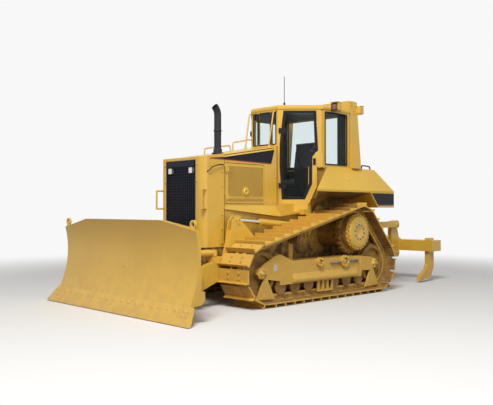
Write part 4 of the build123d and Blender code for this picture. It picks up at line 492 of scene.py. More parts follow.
# The hull's dark brown film below 1.6 m is painted shade under the fenders and behind the tracks.
HULL_PAINTED_SHADE = Enamel("hull_enamel", (0.70, 0.43, 0.06), dust_and_shade=(0.15, 0.070, 0.027), dust_and_shade_amount=2.2, dust_and_shade_top=1.6,
              coat=0.05)
BLACK = Enamel("black_enamel", (0.010, 0.009, 0.013), Slot.BLACK, 0.45, dust_and_shade_amount=0.1, coat=0.0, gloss=0.2)
GRILLE_BLACK = Enamel("grille_enamel", (0.008, 0.009, 0.020), Slot.BLACK, 0.5, dust_and_shade_amount=0.05, coat=0.0,
                      gloss=0.25)
STACK_GREY = Enamel("stack_enamel", (0.020, 0.017, 0.024), Slot.BLACK, 0.5, dust_and_shade_amount=0.0, coat=0.0,
                    gloss=0.3)
RED = Enamel("red_line_enamel", (0.36, 0.035, 0.025), Slot.BLACK, 0.35, dust_and_shade_amount=0.0)
PALE = Enamel("pale_enamel", (0.62, 0.60, 0.55), Slot.LENS, 0.4, dust_and_shade_amount=0.15)
CAST = Enamel("engine_enamel", (0.20, 0.19, 0.18), Slot.CAST, 0.6, dust_and_shade_amount=0.2, coat=0.0)
CHROME = Steel("plated_rod", (0.72, 0.73, 0.75))
GLASS = Glass("window_glass")
LENS = Lens("lamp_lens")
AMBER = Lens("work_lamp_lens", (0.30, 0.14, 0.11))
PLASTIC = Moulding("cab_plastic", (0.011, 0.011, 0.013))
VINYL = Moulding("seat_vinyl", (0.028, 0.028, 0.031), Slot.SEAT, 0.55, 300.0)
SHADE = Moulding("hole_shade", (0.045, 0.026, 0.012), roughness=0.9, grain=200.0, depth=0.05)
RUBBER = Moulding("seal_rubber", (0.014, 0.014, 0.015), roughness=0.7, grain=500.0, depth=0.15)

NODE_FINISHES: dict[str, Finish] = {
    "track_left": SHOE, "track_right": SHOE, "wheels_left": WHEEL, "wheels_right": WHEEL,
    "sprocket_left": DRIVE, "sprocket_right": DRIVE, "track_frame_left": TRACK_YELLOW,
    "track_frame_right": TRACK_YELLOW, "engine_block": CAST, "grille": GRILLE_BLACK,
    "exhaust_stack": STACK_GREY, "head_lamps": LENS, "antenna": BLACK, "cab_windows": GLASS,
    "cab_door_left": BLACK, "cab_door_right": BLACK, "cab_door_glass_left": GLASS,
    "cab_door_glass_right": GLASS, "operator_seat": VINYL, "cab_controls": PLASTIC, "lift_rods": CHROME,
    "angle_rod_left": CHROME, "angle_rod_right": CHROME, "tilt_rod": CHROME, "ripper_rods": CHROME,
    "fenders": FENDER, "main_frame": HULL_PAINTED_SHADE,
}


def rounded_path(points: Sequence[Vector], radius: float, steps: int = 5) -> list[Vector]:
    """Path whose inner corners are rounded.

    Args:
        points: Corners of the path.
        radius: Radius of each bend.
        steps: Straight pieces in a bend.

    Returns:
        Points along the path.
    """
    path = [points[0]]
    for before, corner, after in zip(points, points[1:], points[2:]):
        back = (before - corner).normalized()
        ahead = (after - corner).normalized()
        half = back.angle(ahead) / 2
        reach = min(radius / math.tan(half), 0.48 * (before - corner).length, 0.48 * (after - corner).length)
        start, end = corner + back * reach, corner + ahead * reach
        for number in range(steps + 1):
            share = number / steps
            path.append(start.lerp(corner, share).lerp(corner.lerp(end, share), share))
    path.append(points[-1])
    return path


def polygon(radius: float, count: int) -> list[Pair]:
    """Corners of a regular polygon around the origin."""
    turns = [math.tau * k / count for k in range(count)]
    return [(radius * math.cos(turn), radius * math.sin(turn)) for turn in turns]


@dataclass
class Mould:
    """A mesh put together from prisms, tubes and turned shapes, then cast as one piece."""

    mesh: bmesh.types.BMesh = field(default_factory=bmesh.new)

    def _take(self, other: bmesh.types.BMesh) -> Mould:
        """Add another mesh to this one and free it."""
        kept = bpy.data.meshes.new("taken")
        other.to_mesh(kept)
        other.free()
        self.mesh.from_mesh(kept)
        bpy.data.meshes.remove(kept)
        return self

    def _merge(self, other: bmesh.types.BMesh) -> Mould:
        """Take over another mesh with its faces turned outwards."""
        bmesh.ops.recalc_face_normals(other, faces=other.faces)
        return self._take(other)

    def _skin(self, made: bmesh.types.BMesh, rings: Sequence[Ring], ends: Sequence[Ring],
              smooth: bool) -> Mould:
        """Join rings of vertices by faces, close the ends and take the shape over.

        Args:
            made: Mesh that holds the vertices.
            rings: Rings in order, a single vertex where the shape meets its axis.
            ends: Rings that a flat face closes.
            smooth: Whether the wall is shaded smooth.

        Returns:
            The mould.
        """
        for first, second in zip(rings, rings[1:]):
            for k in range(max(len(first), len(second))):
                corners = [(first, k), (first, k + 1), (second, k + 1), (second, k)]
                unique = list(dict.fromkeys(ring[number % len(ring)] for ring, number in corners))
                if len(unique) > 2:
                    made.faces.new(unique)
        for ring in ends:
            if len(ring) > 1:
                made.faces.new(ring)
        for face in made.faces:
            face.smooth = smooth and len(face.verts) <= 4
        return self._merge(made)

    def prism(self, outline: Outline, origin: Vector, across: Vector, up: Vector, depth: float,
              bevel: float = 0.0, segments: int = 2) -> Mould:
        """Extrude a flat outline.

        Args:
            outline: Corners as steps across and up.
            origin: Where the outline's own origin lies.
            across: Direction of the first step.
            up: Direction of the second step.
            depth: Length of the extrusion along across x up.
            bevel: Width of the rounded edges.
            segments: Pieces in each rounded edge.

        Returns:
            The mould.
        """
        made = bmesh.new()
        across, up = across.normalized(), up.normalized()
        out = across.cross(up).normalized()
        corners = [made.verts.new(origin + across * u + up * v) for u, v in outline]
        face = made.faces.new(corners)
        lifted = bmesh.ops.extrude_face_region(made, geom=[face])
        raised = [part for part in lifted["geom"] if isinstance(part, bmesh.types.BMVert)]
        bmesh.ops.translate(made, vec=out * depth, verts=raised)
        if bevel > 0:
            bmesh.ops.bevel(made, geom=list(made.edges), offset=bevel, segments=segments, profile=0.5,
                            affect="EDGES", clamp_overlap=True)
        return self._merge(made)

    def plate(self, outline: Outline, y: float, depth: float) -> Mould:
        """Thin plate that looks left, its outline in stations and heights."""
        return self.prism([(-station, z) for station, z in outline], at(0, y, 0), BACK, UP, depth)

    def box(self, low: Vector, high: Vector, bevel: float) -> Mould:
        """Upright box between two corners, with rounded edges."""
        size = high - low
        outline = [(0.0, 0.0), (size.x, 0.0), (size.x, size.y), (0.0, size.y)]
        return self.prism(outline, low, AHEAD, LEFT, size.z, bevel)

    def tube(self, path: Sequence[Vector], radius: float, sides: int = 10, closed: bool = False) -> Mould:
        """Round tube along a path.

        Args:
            path: Points along the tube's middle.
            radius: Radius of the tube.
            sides: Sides of its section.
            closed: Whether the path is a loop.

        Returns:
            The mould.
        """
        made = bmesh.new()
        circle = polygon(1.0, sides)
        count = len(path)
        rings, tangents = [], []
        for number in range(count):
            before = path[number - 1] if number or closed else path[number]
            after = path[(number + 1) % count] if number < count - 1 or closed else path[number]
            tangents.append((after - before).normalized())
        side = tangents[0].orthogonal().normalized()
        for number, point in enumerate(path):
            side = (side - tangents[number] * side.dot(tangents[number])).normalized()
            other = tangents[number].cross(side)
            rings.append([made.verts.new(point + radius * (side * c + other * s)) for c, s in circle])
        if closed:
            return self._skin(made, rings + rings[:1], (), True)
        return self._skin(made, rings, (rings[0][::-1], rings[-1]), True)

    def turned(self, profile: Outline, origin: Vector, axis: Vector, sides: int,
               smooth: bool = True) -> Mould:
        """Turn a profile about an axis.

        Args:
            profile: Radius and height of each corner, an end off the axis being closed by a disc.
            origin: Point on the axis at height 0.
            axis: Direction of the axis.
            sides: Sides of the turned shape.
            smooth: Whether its wall is shaded smooth.

        Returns:
            The mould.
        """
        made = bmesh.new()
        axis = axis.normalized()
        side = axis.orthogonal().normalized()
        other = axis.cross(side)
        circle = polygon(1.0, sides)
        rings = []
        for radius, height in profile:
            middle = origin + axis * height
            if radius <= 0:
                rings.append([made.verts.new(middle)])
            else:
                rings.append([made.verts.new(middle + radius * (side * c + other * s)) for c, s in circle])
        return self._skin(made, rings, (rings[0], rings[-1]), smooth)

    def mirrored(self) -> Mould:
        """Add the twin on the other side of the machine."""
        twin = self.mesh.copy()
        bmesh.ops.scale(twin, vec=(1, -1, 1), verts=twin.verts)
        bmesh.ops.reverse_faces(twin, faces=twin.faces)
        return self._take(twin)

    def shape(self, name: str) -> bpy.types.Object:
        """Hand the mesh over as an object that isn't a piece yet."""
        mesh = bpy.data.meshes.new(name)
        self.mesh.to_mesh(mesh)
        self.mesh.free()
        return bpy.data.objects.new(name, mesh)

    def cast(self, name: str, finish: Finish, body: Body = Body.CHASSIS,
             slot: Slot | None = None) -> bpy.types.Object:
        """Make the piece, paint it and let it ride.

        Args:
            name: Name of the piece.
            finish: Its finish.
            body: Body that carries it.
            slot: Slot of the record, where it isn't the finish's own; not used.

        Returns:
            The piece.
        """
        made = self.shape(name)
        made.data.materials.append(finish.material())
        return settle(made, body)


def settle(piece: bpy.types.Object, body: Body) -> bpy.types.Object:
    """Link a piece into the scene and let it ride on its body."""
    if piece.name not in bpy.context.scene.collection.objects:
        bpy.context.scene.collection.objects.link(piece)
    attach(piece, body.value)
    LOG.info("%s rides on %s, %d faces", piece.name, body.value, len(piece.data.polygons))
    return piece


@dataclass(frozen=True)
class Mark:
    """Where a repeated shape stands: its foot, the way it points and the way its side faces."""

    foot: Vector
    aim: Vector
    along: Vector = LEFT


class Spread:
    """Geometry Nodes that stand copies of a shape on marks and make them one mesh."""

    NAME = "spread_shape"
    WAYS = ("aim", "along")

    def tree(self) -> bpy.types.NodeTree:
        """The node tree, built on first use."""
        found = bpy.data.node_groups.get(self.NAME)
        if found:
            return found
        tree = bpy.data.node_groups.new(self.NAME, "GeometryNodeTree")
        for label, kind in (("Marks", "Geometry"), ("Shape", "Object"), ("Finish", "Material")):
            tree.interface.new_socket(label, in_out="INPUT", socket_type="NodeSocket" + kind)
        tree.interface.new_socket("Copies", in_out="OUTPUT", socket_type="NodeSocketGeometry")
        graph = Graph(tree)
        given = graph.add("NodeGroupInput").socket.node
        marks, shape, finish = [Wire(graph, socket) for socket in given.outputs[:3]]
        named, vector = "GeometryNodeInputNamedAttribute", {"data_type": "FLOAT_VECTOR"}
        aim, along = [graph.add(named, vector, {"Name": label}) for label in self.WAYS]
        upright = graph.add("FunctionNodeAlignRotationToVector", {"axis": "Z"}, {"Vector": aim})
        turned = graph.add("FunctionNodeAlignRotationToVector", {"axis": "X", "pivot_axis": "Z"},
                           {"Rotation": upright, "Vector": along})
        model = graph.add("GeometryNodeObjectInfo", None, {"Object": shape}, out="Geometry")
        stood = graph.add("GeometryNodeInstanceOnPoints", None,
                          {"Points": marks, "Instance": model, "Rotation": turned})
        real = graph.add("GeometryNodeRealizeInstances", None, {"Geometry": stood})
        painted = graph.add("GeometryNodeSetMaterial", None, {"Geometry": real, "Material": finish})
        graph.add("NodeGroupOutput", None, {0: painted})
        return tree

    def cast(self, name: str, shape: bpy.types.Object, marks: Sequence[Mark], finish: Finish,
             body: Body = Body.CHASSIS) -> bpy.types.Object:
        """Stand the shape on every mark as one piece.

        Args:
            name: Name of the piece.
            shape: Model that is repeated, along its own Z.
            marks: Where the copies stand.
            finish: Their finish.
            body: Body that carries them.

        Returns:
            The piece.
        """
        mesh = bpy.data.meshes.new(name + "_marks")
        mesh.from_pydata([tuple(mark.foot) for mark in marks], [], [])
        for label in self.WAYS:
            attribute = mesh.attributes.new(label, "FLOAT_VECTOR", "POINT")
            attribute.data.foreach_set("vector", [part for mark in marks for part in getattr(mark, label)])
        stand = bpy.data.objects.new(name + "_marks", mesh)
        bpy.context.scene.collection.objects.link(stand)
        bpy.context.scene.collection.objects.link(shape)
        tree = self.tree()
        modifier = stand.modifiers.new("spread", "NODES")
        modifier.node_group = tree
        values = {"Shape": shape, "Finish": finish.material()}
        for item in tree.interface.items_tree:
            if item.in_out == "INPUT" and item.name in values:
                modifier[item.identifier] = values[item.name]
        graph = bpy.context.evaluated_depsgraph_get()
        made = bpy.data.objects.new(name, bpy.data.meshes.new_from_object(stand.evaluated_get(graph)))
        stand.modifiers.remove(modifier)
        bpy.data.objects.remove(stand)
        bpy.data.objects.remove(shape)
        return settle(made, body)


SPREAD = Spread()


@dataclass(frozen=True)
class Bolt:
    """Hex bolt on a washer."""

    across: float
    head: float
    washer: float
    washer_thickness: float = 0.004

    def shape(self) -> bpy.types.Object:
        """Bolt standing on the origin along Z."""
        radius, washer, thick = self.across / math.sqrt(3), self.washer, self.washer_thickness
        top = thick + self.head
        disc = [(0, -0.002), (washer, -0.002), (washer, thick), (0, thick)]
        head = [(0, thick), (radius, thick), (radius, top - 0.003), (radius * 0.86, top), (0, top)]
        mould = Mould().turned(disc, Vector(), UP, 12, smooth=False)
        return mould.turned(head, Vector(), UP, 6, smooth=False).shape("bolt")


def ring_of_marks(centre: Vector, axis: Vector, radius: float, count: int, start: float = 0.0) -> list[Mark]:
    """Marks on a circle, pointing along its axis.

    Args:
        centre: Middle of the circle.
        axis: Its axis.
        radius: Its radius.
        count: Number of marks.
        start: Angle of the first one, in turns.

    Returns:
        The marks.
    """
    axis = axis.normalized()
    side = axis.orthogonal().normalized()
    other = axis.cross(side)
    turns = [math.tau * (start + k / count) for k in range(count)]
    return [Mark(centre + radius * (side * math.cos(t) + other * math.sin(t)), axis, side) for t in turns]


def both_sides(marks: Iterable[Mark]) -> list[Mark]:
    """The marks and their twins on the other side of the machine."""
    flip = Vector((1, -1, 1))
    kept = list(marks)
    return kept + [Mark(mark.foot * flip, mark.aim * flip, mark.along * flip) for mark in kept]


@dataclass
class Undercarriage:
    """Bolts, chain links, hub plates, caps and beam dress of the two tracks."""

    idler_z: float = 0.459
    idler_span: float = 2.581
    sprocket: Pair = (-2.12, 0.975)
    shoes: int = 40
    pitch_radius: float = 0.3475
    shoe_face: float = 0.409
    track_y: float = 0.945
    rail_face: float = 0.095
    beam_face: float = 0.145
    hub_reach: float = 0.19
    hub_ring: float = 0.112
    rim_ring: float = 0.262
    caps: tuple[Point, ...] = ((-1.18, 0.5538, 0.066), (-1.78, 0.5356, 0.092))
    bolt_rows: tuple[float, ...] = (-0.025, 0.045)
    bolt_columns: tuple[float, ...] = (-0.105, 0.105)
    shoe_bolt: Bolt = Bolt(across=0.026, head=0.012, washer=0.018)
    hub_bolt: Bolt = Bolt(across=0.022, head=0.008, washer=0.017)
    rim_bolt: Bolt = Bolt(across=0.018, head=0.006, washer=0.012)
    frame_bolt: Bolt = Bolt(across=0.022, head=0.011, washer=0.015)

    def places(self) -> tuple[list[Shoe], float]:
        """Shoe places around the idlers and the sprocket.

        Returns:
            Wheel point and heading of each shoe, and the pitch between shoes.
        """
        corners = [Vector((0.0, self.idler_z)), Vector(self.sprocket),
                   Vector((-self.idler_span, self.idler_z))]
        stretches = []
        for number, start in enumerate(corners):
            end, later = corners[(number + 1) % 3], corners[(number + 2) % 3]
            heading = math.atan2(*(end - start).yx)
            turn = (math.atan2(*(later - end).yx) - heading) % math.tau
            stretches.append((start, heading, (end - start).length, 0.0))
            stretches.append((end, heading, self.pitch_radius * turn, turn))
        pitch = sum(stretch[2] for stretch in stretches) / self.shoes
        found: list[Shoe] = []
        begun = 0.0
        for corner, heading, length, turn in stretches:
            while len(found) < self.shoes and (len(found) + 0.5) * pitch < begun + length:
                along = (len(found) + 0.5) * pitch - begun
                if turn:
                    found.append((corner, heading + turn * along / length))
                else:
                    found.append((corner + along * Vector((math.cos(heading), math.sin(heading))), heading))
            begun += length
        return found, pitch

    def spot(self, shoe: Shoe, along: float, out: float, y: float) -> tuple[Vector, Vector, Vector]:
        """Point on a shoe with its outward and forward directions.

        Args:
            shoe: Wheel point and heading of the shoe.
            along: Distance along the chain.
            out: Distance out from the wheel point.
            y: Place across the machine.

        Returns:
            The point, the outward direction and the direction along the chain.
        """
        corner, heading = shoe
        ahead = Vector((math.cos(heading), 0, math.sin(heading)))
        outward = Vector((math.sin(heading), 0, -math.cos(heading)))
        return at(corner.x, y, corner.y) + ahead * along + outward * out, outward, ahead

    def build(self) -> None:
        """Make every piece on both sides."""
        self.shoe_bolts()
        self.links()
        self.hubs()
        self.covers()

    def shoe_bolts(self) -> None:
        """Four bolts on the face of every shoe."""
        places, _ = self.places()
        marks = []
        for shoe in places:
            for along in self.bolt_rows:
                for column in self.bolt_columns:
                    point, outward, ahead = self.spot(shoe, along, self.shoe_face, self.track_y + column)
                    marks.append(Mark(point, outward, ahead))
        SPREAD.cast("shoe_bolts", self.shoe_bolt.shape(), both_sides(marks), TRACK_YELLOW)

    def links(self) -> None:
        """Link plates with pin bosses on both faces of the chain rails."""
        places, pitch = self.places()
        half = pitch / 2
        waist = [(-half, -0.012), (-half * 0.5, -0.021), (half * 0.5, -0.021), (half, -0.012), (half, 0.012),
                 (half * 0.5, 0.021), (-half * 0.5, 0.021), (-half, 0.012)]
        mould = Mould().prism(waist, Vector((0, 0, -0.002)), AHEAD, LEFT, 0.007, 0.002, 1)
        boss = [(0, 0.004), (0.026, 0.004), (0.026, 0.009), (0.017, 0.011), (0.017, 0.008), (0, 0.008)]
        for place in (-half * 0.78, half * 0.72):
            mould.turned(boss, Vector((place, 0, 0)), UP, 12)
        marks = []
        for shoe in places:
            for face, side in ((self.rail_face, 1), (-self.rail_face, -1)):
                point, _, ahead = self.spot(shoe, 0.0, self.pitch_radius, self.track_y + face)
                marks.append(Mark(point, LEFT * side, ahead))
        SPREAD.cast("chain_links", mould.shape("link"), both_sides(marks), WHEEL)

    def hubs(self) -> None:
        """Smooth hub plates of the drive sprockets, with a ring of bolts on them and one around them."""
        centre = at(self.sprocket[0], self.track_y + self.hub_reach, self.sprocket[1])
        disc = [(0, 0.003), (0.05, 0.003), (0.056, 0.006), (0.18, 0.006), (0.235, 0.004), (0.248, -0.002),
                (0.25, -0.03), (0, -0.03)]
        Mould().turned(disc, centre, LEFT, 64).mirrored().cast("hub_plates", YELLOW)
        marks = ring_of_marks(centre + LEFT * 0.006, LEFT, self.hub_ring, 10)
        SPREAD.cast("hub_bolts", self.hub_bolt.shape(), both_sides(marks), CAST)
        rim = ring_of_marks(centre - LEFT * 0.008, LEFT, self.rim_ring, 24, 1 / 48)
        SPREAD.cast("hub_rim_bolts", self.rim_bolt.shape(), both_sides(rim), YELLOW)

    def covers(self) -> None:
        """Bolted caps of the pivot shafts and idler axles, then what the beams wear."""
        face = self.track_y + self.beam_face
        marks = []
        for station, z, radius in self.caps:
            marks += ring_of_marks(at(station, face + 0.04, z), LEFT, radius * 0.8, 6, 0.08)
        for station in (0.0, -self.idler_span):
            marks += ring_of_marks(at(station, face + 0.006, self.idler_z), LEFT, 0.052, 4, 0.125)
        SPREAD.cast("frame_bolts", self.frame_bolt.shape(), both_sides(marks), YELLOW)
        ends = Mould()
        cap = [(0, 0.022), (0.022, 0.022), (0.028, 0.016), (0.03, 0.006), (0.075, 0.006), (0.078, 0.002),
               (0.078, -0.004), (0, -0.004)]
        for station in (0.0, -self.idler_span):
            ends.turned(cap, at(station, face, self.idler_z), LEFT, 24)
        for station, z, radius in self.caps:
            plug = [(0, 0.004), (radius * 0.3, 0.004), (radius * 0.34, 0.0), (radius * 0.58, -0.002),
                    (radius * 0.58, -0.01), (0, -0.01)]
            ends.turned(plug, at(station, face + 0.026, z), LEFT, 24)
        ends.mirrored().cast("axle_caps", YELLOW)
        self.beam_dress(face)

    def beam_dress(self, face: float) -> None:
        """Pressed ridges with seam straps, carrier guards, rods with collars and riveted blank plates.

        Args:
            face: Distance of the beams' outer faces from the machine's middle.
        """
        ridge = [(-0.002, 0.298), (0.034, 0.298), (0.036, 0.335), (-0.002, 0.425)]
        dress = Mould().prism(ridge, at(-2.10, face, 0), LEFT, UP, 1.50, 0.004)
        for station in (-0.40, -2.22):
            low, high = at(station - 0.012, face - 0.002, 0.30), at(station + 0.012, face + 0.007, 0.585)
            dress.box(low, high, 0.003)
        dress.mirrored().cast("beam_ridges", TRACK_YELLOW)
        slant = [(0.93, 0.895), (1.30, 0.955), (1.30, 1.075), (1.02, 1.005), (0.93, 0.985)]
        guard = Mould().prism(slant, at(0, 0.800, 0), BACK, UP, 0.030, 0.005)
        for station in (-1.06, -1.14, -1.22):
            low = 0.86 - 0.162 * (station + 0.93)
            guard.box(at(station - 0.010, 0.815, low), at(station + 0.010, 0.870, low + 0.150), 0.004)
        guard.mirrored().cast("carrier_guards", TRACK_YELLOW)
        rods = Mould().tube([at(-1.46, face + 0.016, 0.525), at(-2.12, face + 0.016, 0.532)], 0.014, 12)
        collar = [(0, -0.022), (0.018, -0.022), (0.021, -0.016), (0.021, 0.016), (0.018, 0.022), (0, 0.022)]
        for station, z in ((-1.475, 0.5252), (-1.62, 0.5267), (-1.98, 0.5305), (-2.105, 0.5318)):
            rods.turned(collar, at(station, face + 0.016, z), AHEAD, 16)
        rods.mirrored().cast("beam_rods", CAST)
        blank = Mould().box(at(-0.285, face - 0.001, 0.478), at(-0.215, face + 0.003, 0.568), 0.001)
        rivet = [(0, 0.0025), (0.003, 0.002), (0.0045, 0.0), (0.0045, -0.001), (0, -0.001)]
        for station in (-0.278, -0.222):
            for z in (0.486, 0.560):
                blank.turned(rivet, at(station, face + 0.003, z), LEFT, 12)
        blank.mirrored().cast("blank_plates", PALE)


HATCHES = (("left", Body.HATCH_LEFT, 1), ("right", Body.HATCH_RIGHT, -1))


@dataclass
class Bonnet:
    """Stripe, seams, grille, latches, door holes, handles, collar and bolts of the hood and its guard."""

    side: float = 0.470
    guard_side: float = 0.480
    guard_front: float = 0.550
    grille_half: float = 0.33
    grille_low: float = 0.90
    grille_high: float = 2.02
    grille_rail: float = 0.022
    grille_brow: float = 0.09
    bar_pitch: float = 0.046
    bars_aside: int = 6
    fin_pitch: float = 0.05
    fins_aside: int = 6
    stripe: Outline = ((0.42, 2.044), (-0.814, 2.022), (-0.885, 2.234), (0.15, 2.066))
    stripe_joint: float = 0.1497
    red_width: float = 0.013
    sunk: float = 0.002
    lamp: Point = (0.558, 0.23, 1.877)
    lamp_half: float = 0.05
    latch: Pair = (-0.278, 1.58)
    hatch: tuple[float, float, float, float] = (-0.655, 0.115, 1.415, 1.985)
    hole: float = 0.0055
    hole_step: float = 0.0165
    stagger: float = 0.87
    latch_clear: float = 0.075
    creases: Pair = (1.44, 1.505)
    crease_clear: float = 0.011
    stack: Pair = (0.0, 0.17)
    bolt: Bolt = Bolt(across=0.02, head=0.009, washer=0.015)

    def build(self) -> None:
        """Make every piece."""
        self.stripes()
        self.seams()
        self.grille()
        self.core()
        self.latches()
        self.perforations()
        self.hood_handles()
        self.stack_collar()
        self.guard_bolts()

    def stripes(self) -> None:
        """Tapered black panel with a red line under it, on both sides."""
        joint = self.stripe_joint
        tip, low, high, front = self.stripe
        share = (tip[0] - joint) / (tip[0] - low[0])
        bend = (joint, tip[1] + (low[1] - tip[1]) * share)
        black, red = Mould(), Mould()
        black.plate([bend, low, high, (joint, front[1])], self.side - self.sunk, 0.0035)
        black.plate([tip, bend, (joint, front[1])], self.guard_side - self.sunk, 0.0035)
        under = [(point[0], point[1] - self.red_width) for point in (tip, bend, low)]
        red.plate([bend, low, under[2], under[1]], self.side - self.sunk, 0.0042)
        red.plate([tip, bend, under[1], under[0]], self.guard_side - self.sunk, 0.0042)
        black.mirrored().cast("side_stripe", BLACK)
        red.mirrored().cast("red_line", RED)

    def seams(self) -> None:
        """Rubber-filled joints between the hood, its guard and its upper panel."""
        upright = [(0.152, 0.86), (0.146, 0.86), (0.146, 2.055), (0.152, 2.055)]
        seams = Mould().plate(upright, self.guard_side - 0.01, 0.0108)
        slope = [(-0.92, 2.2885), (0.145, 2.1165), (0.145, 2.105), (-0.92, 2.277)]
        for y in (-0.30, 0.30):
            seams.prism(slope, at(0, y + 0.003, 0), AHEAD, UP, 0.006)
        seams.mirrored().cast("hood_seams", RUBBER)

    def grille(self) -> None:
        """Frame around the grille, upright bars over its slots and rims around the lamps."""
        frame = Mould()
        front, rail = self.guard_front, self.grille_rail
        half, low, high = self.grille_half, self.grille_low, self.grille_high
        for y0, y1, z0, z1 in ((-half, rail - half, low, high), (half - rail, half, low, high),
                               (-half, half, low, low + rail), (-half, half, high - self.grille_brow, high)):
            frame.box(at(front - 0.012, y0, z0), at(front + 0.004, y1, z1), 0.003)
        frame.cast("grille_frame", GRILLE_BLACK)
        section = [(-0.005, -0.003), (0.005, -0.003), (0.003, 0.004), (-0.003, 0.004)]
        bar = Mould().prism(section, Vector(), AHEAD, LEFT, high - low - 0.1)
        places = [number * self.bar_pitch for number in range(-self.bars_aside, self.bars_aside + 1)]
        marks = [Mark(at(front - 0.006, y, low + 0.012), UP) for y in places]
        SPREAD.cast("grille_bars", bar.shape("bar"), marks, GRILLE_BLACK)
        rims = Mould()
        face, y, z = self.lamp
        half, slit = self.lamp_half, self.lamp_half - 0.01
        for z0, z1, y0, y1 in ((-half, -slit, -half, half), (slit, half, -half, half),
                               (-half, half, -half, -slit), (-half, half, slit, half)):
            rims.box(at(face - 0.012, y + y0, z + z0), at(face + 0.006, y + y1, z + z1), 0.003)
        rims.mirrored().cast("lamp_rims", PLASTIC)

    def core(self) -> None:
        """Dark finned radiator core behind the grille."""
        fins = Mould().box(at(0.5105, -0.325, 0.905), at(0.5145, 0.325, 2.015), 0.001)
        fin = [(-0.018, 0.0), (0.018, 0.0), (0.004, 0.0065), (-0.004, 0.0065)]
        for number in range(-self.fins_aside, self.fins_aside + 1):
            fins.prism(fin, at(0.514, number * self.fin_pitch, 0.91), LEFT, AHEAD, -1.10)
        fins.cast("radiator_core", GRILLE_BLACK)

    def latches(self) -> None:
        """Round dished latches on the engine doors."""
        station, z = self.latch
        dish = [(0, 0.004), (0.026, 0.004), (0.029, 0.010), (0.04, 0.010), (0.056, 0.001), (0.056, -0.012),
                (0, -0.012)]
        for name, body, side in HATCHES:
            latch = Mould().turned(dish, at(station, side * (self.side + 0.012), z), LEFT * side, 28)
            low, high = sorted((side * (self.side + 0.013), side * (self.side + 0.026)))
            latch.box(at(station - 0.006, low, z - 0.030), at(station + 0.006, high, z + 0.014), 0.003)
            latch.cast(f"engine_latch_{name}", YELLOW, body)

    def perforations(self) -> None:
        """Staggered small dark discs over the engine doors, painted shade that stands in for holes."""
        rear, front, low, high = self.hatch
        columns = int((front - rear - 0.055) / self.hole_step)
        rise = self.hole_step * self.stagger
        rows = int((high - low - 0.04) / rise)
        for name, body, side in HATCHES:
            marks = []
            for row in range(rows):
                z = low + 0.022 + row * rise
                for column in range(columns):
                    station = rear + 0.02 + (column + 0.5 * (row % 2)) * self.hole_step
                    clear = math.hypot(station - self.latch[0], z - self.latch[1]) > self.latch_clear
                    if clear and min(abs(z - crease) for crease in self.creases) > self.crease_clear:
                        marks.append(Mark(at(station, side * self.side, z), LEFT * side, AHEAD))
            # Each hole is a dark disc on the door: painted shade inside the hole.
            hole = Mould().prism(polygon(self.hole, 6), Vector((0, 0, -0.0008)), AHEAD, LEFT, 0.0014)
            SPREAD.cast(f"hatch_holes_{name}", hole.shape("hole"), marks, SHADE, body)

    def hood_handles(self) -> None:
        """Curved dark grab handles on the guard's sides."""
        y = self.guard_side
        path = [at(0.463, y - 0.004, 1.852), at(0.460, y + 0.032, 1.862), at(0.40, y + 0.036, 1.918),
                at(0.29, y + 0.036, 1.95), at(0.19, y + 0.032, 1.958), at(0.184, y - 0.004, 1.957)]
        Mould().tube(rounded_path(path, 0.06), 0.007).mirrored().cast("guard_handles", BLACK)

    def stack_collar(self) -> None:
        """Foot, clamp and upper band of the exhaust stack."""
        foot = [(0.056, 0.0), (0.088, 0.0), (0.088, 0.012), (0.064, 0.016), (0.064, 0.07), (0.0535, 0.075)]
        band = [(0.0525, 0.0), (0.058, 0.002), (0.058, 0.028), (0.0525, 0.03)]
        collar = Mould().turned(foot, at(*self.stack, 2.139), UP, 32)
        collar.turned(band, at(*self.stack, 2.46), UP, 32).cast("stack_collar", STACK_GREY)

    def guard_bolts(self) -> None:
        """Bolts down the guard's front and sides and along the hood's edge."""
        marks = [Mark(at(0.20, self.guard_side, z), LEFT) for z in (0.86, 1.06, 1.26, 1.66, 1.86)]
        marks += [Mark(at(station, self.side, 1.44), LEFT) for station in (0.10, -0.70, -0.86)]
        marks += [Mark(at(self.guard_front, 0.352, z), AHEAD) for z in (0.90, 1.10, 1.72, 1.96)]
        SPREAD.cast("guard_bolts", self.bolt.shape(), both_sides(marks), YELLOW)


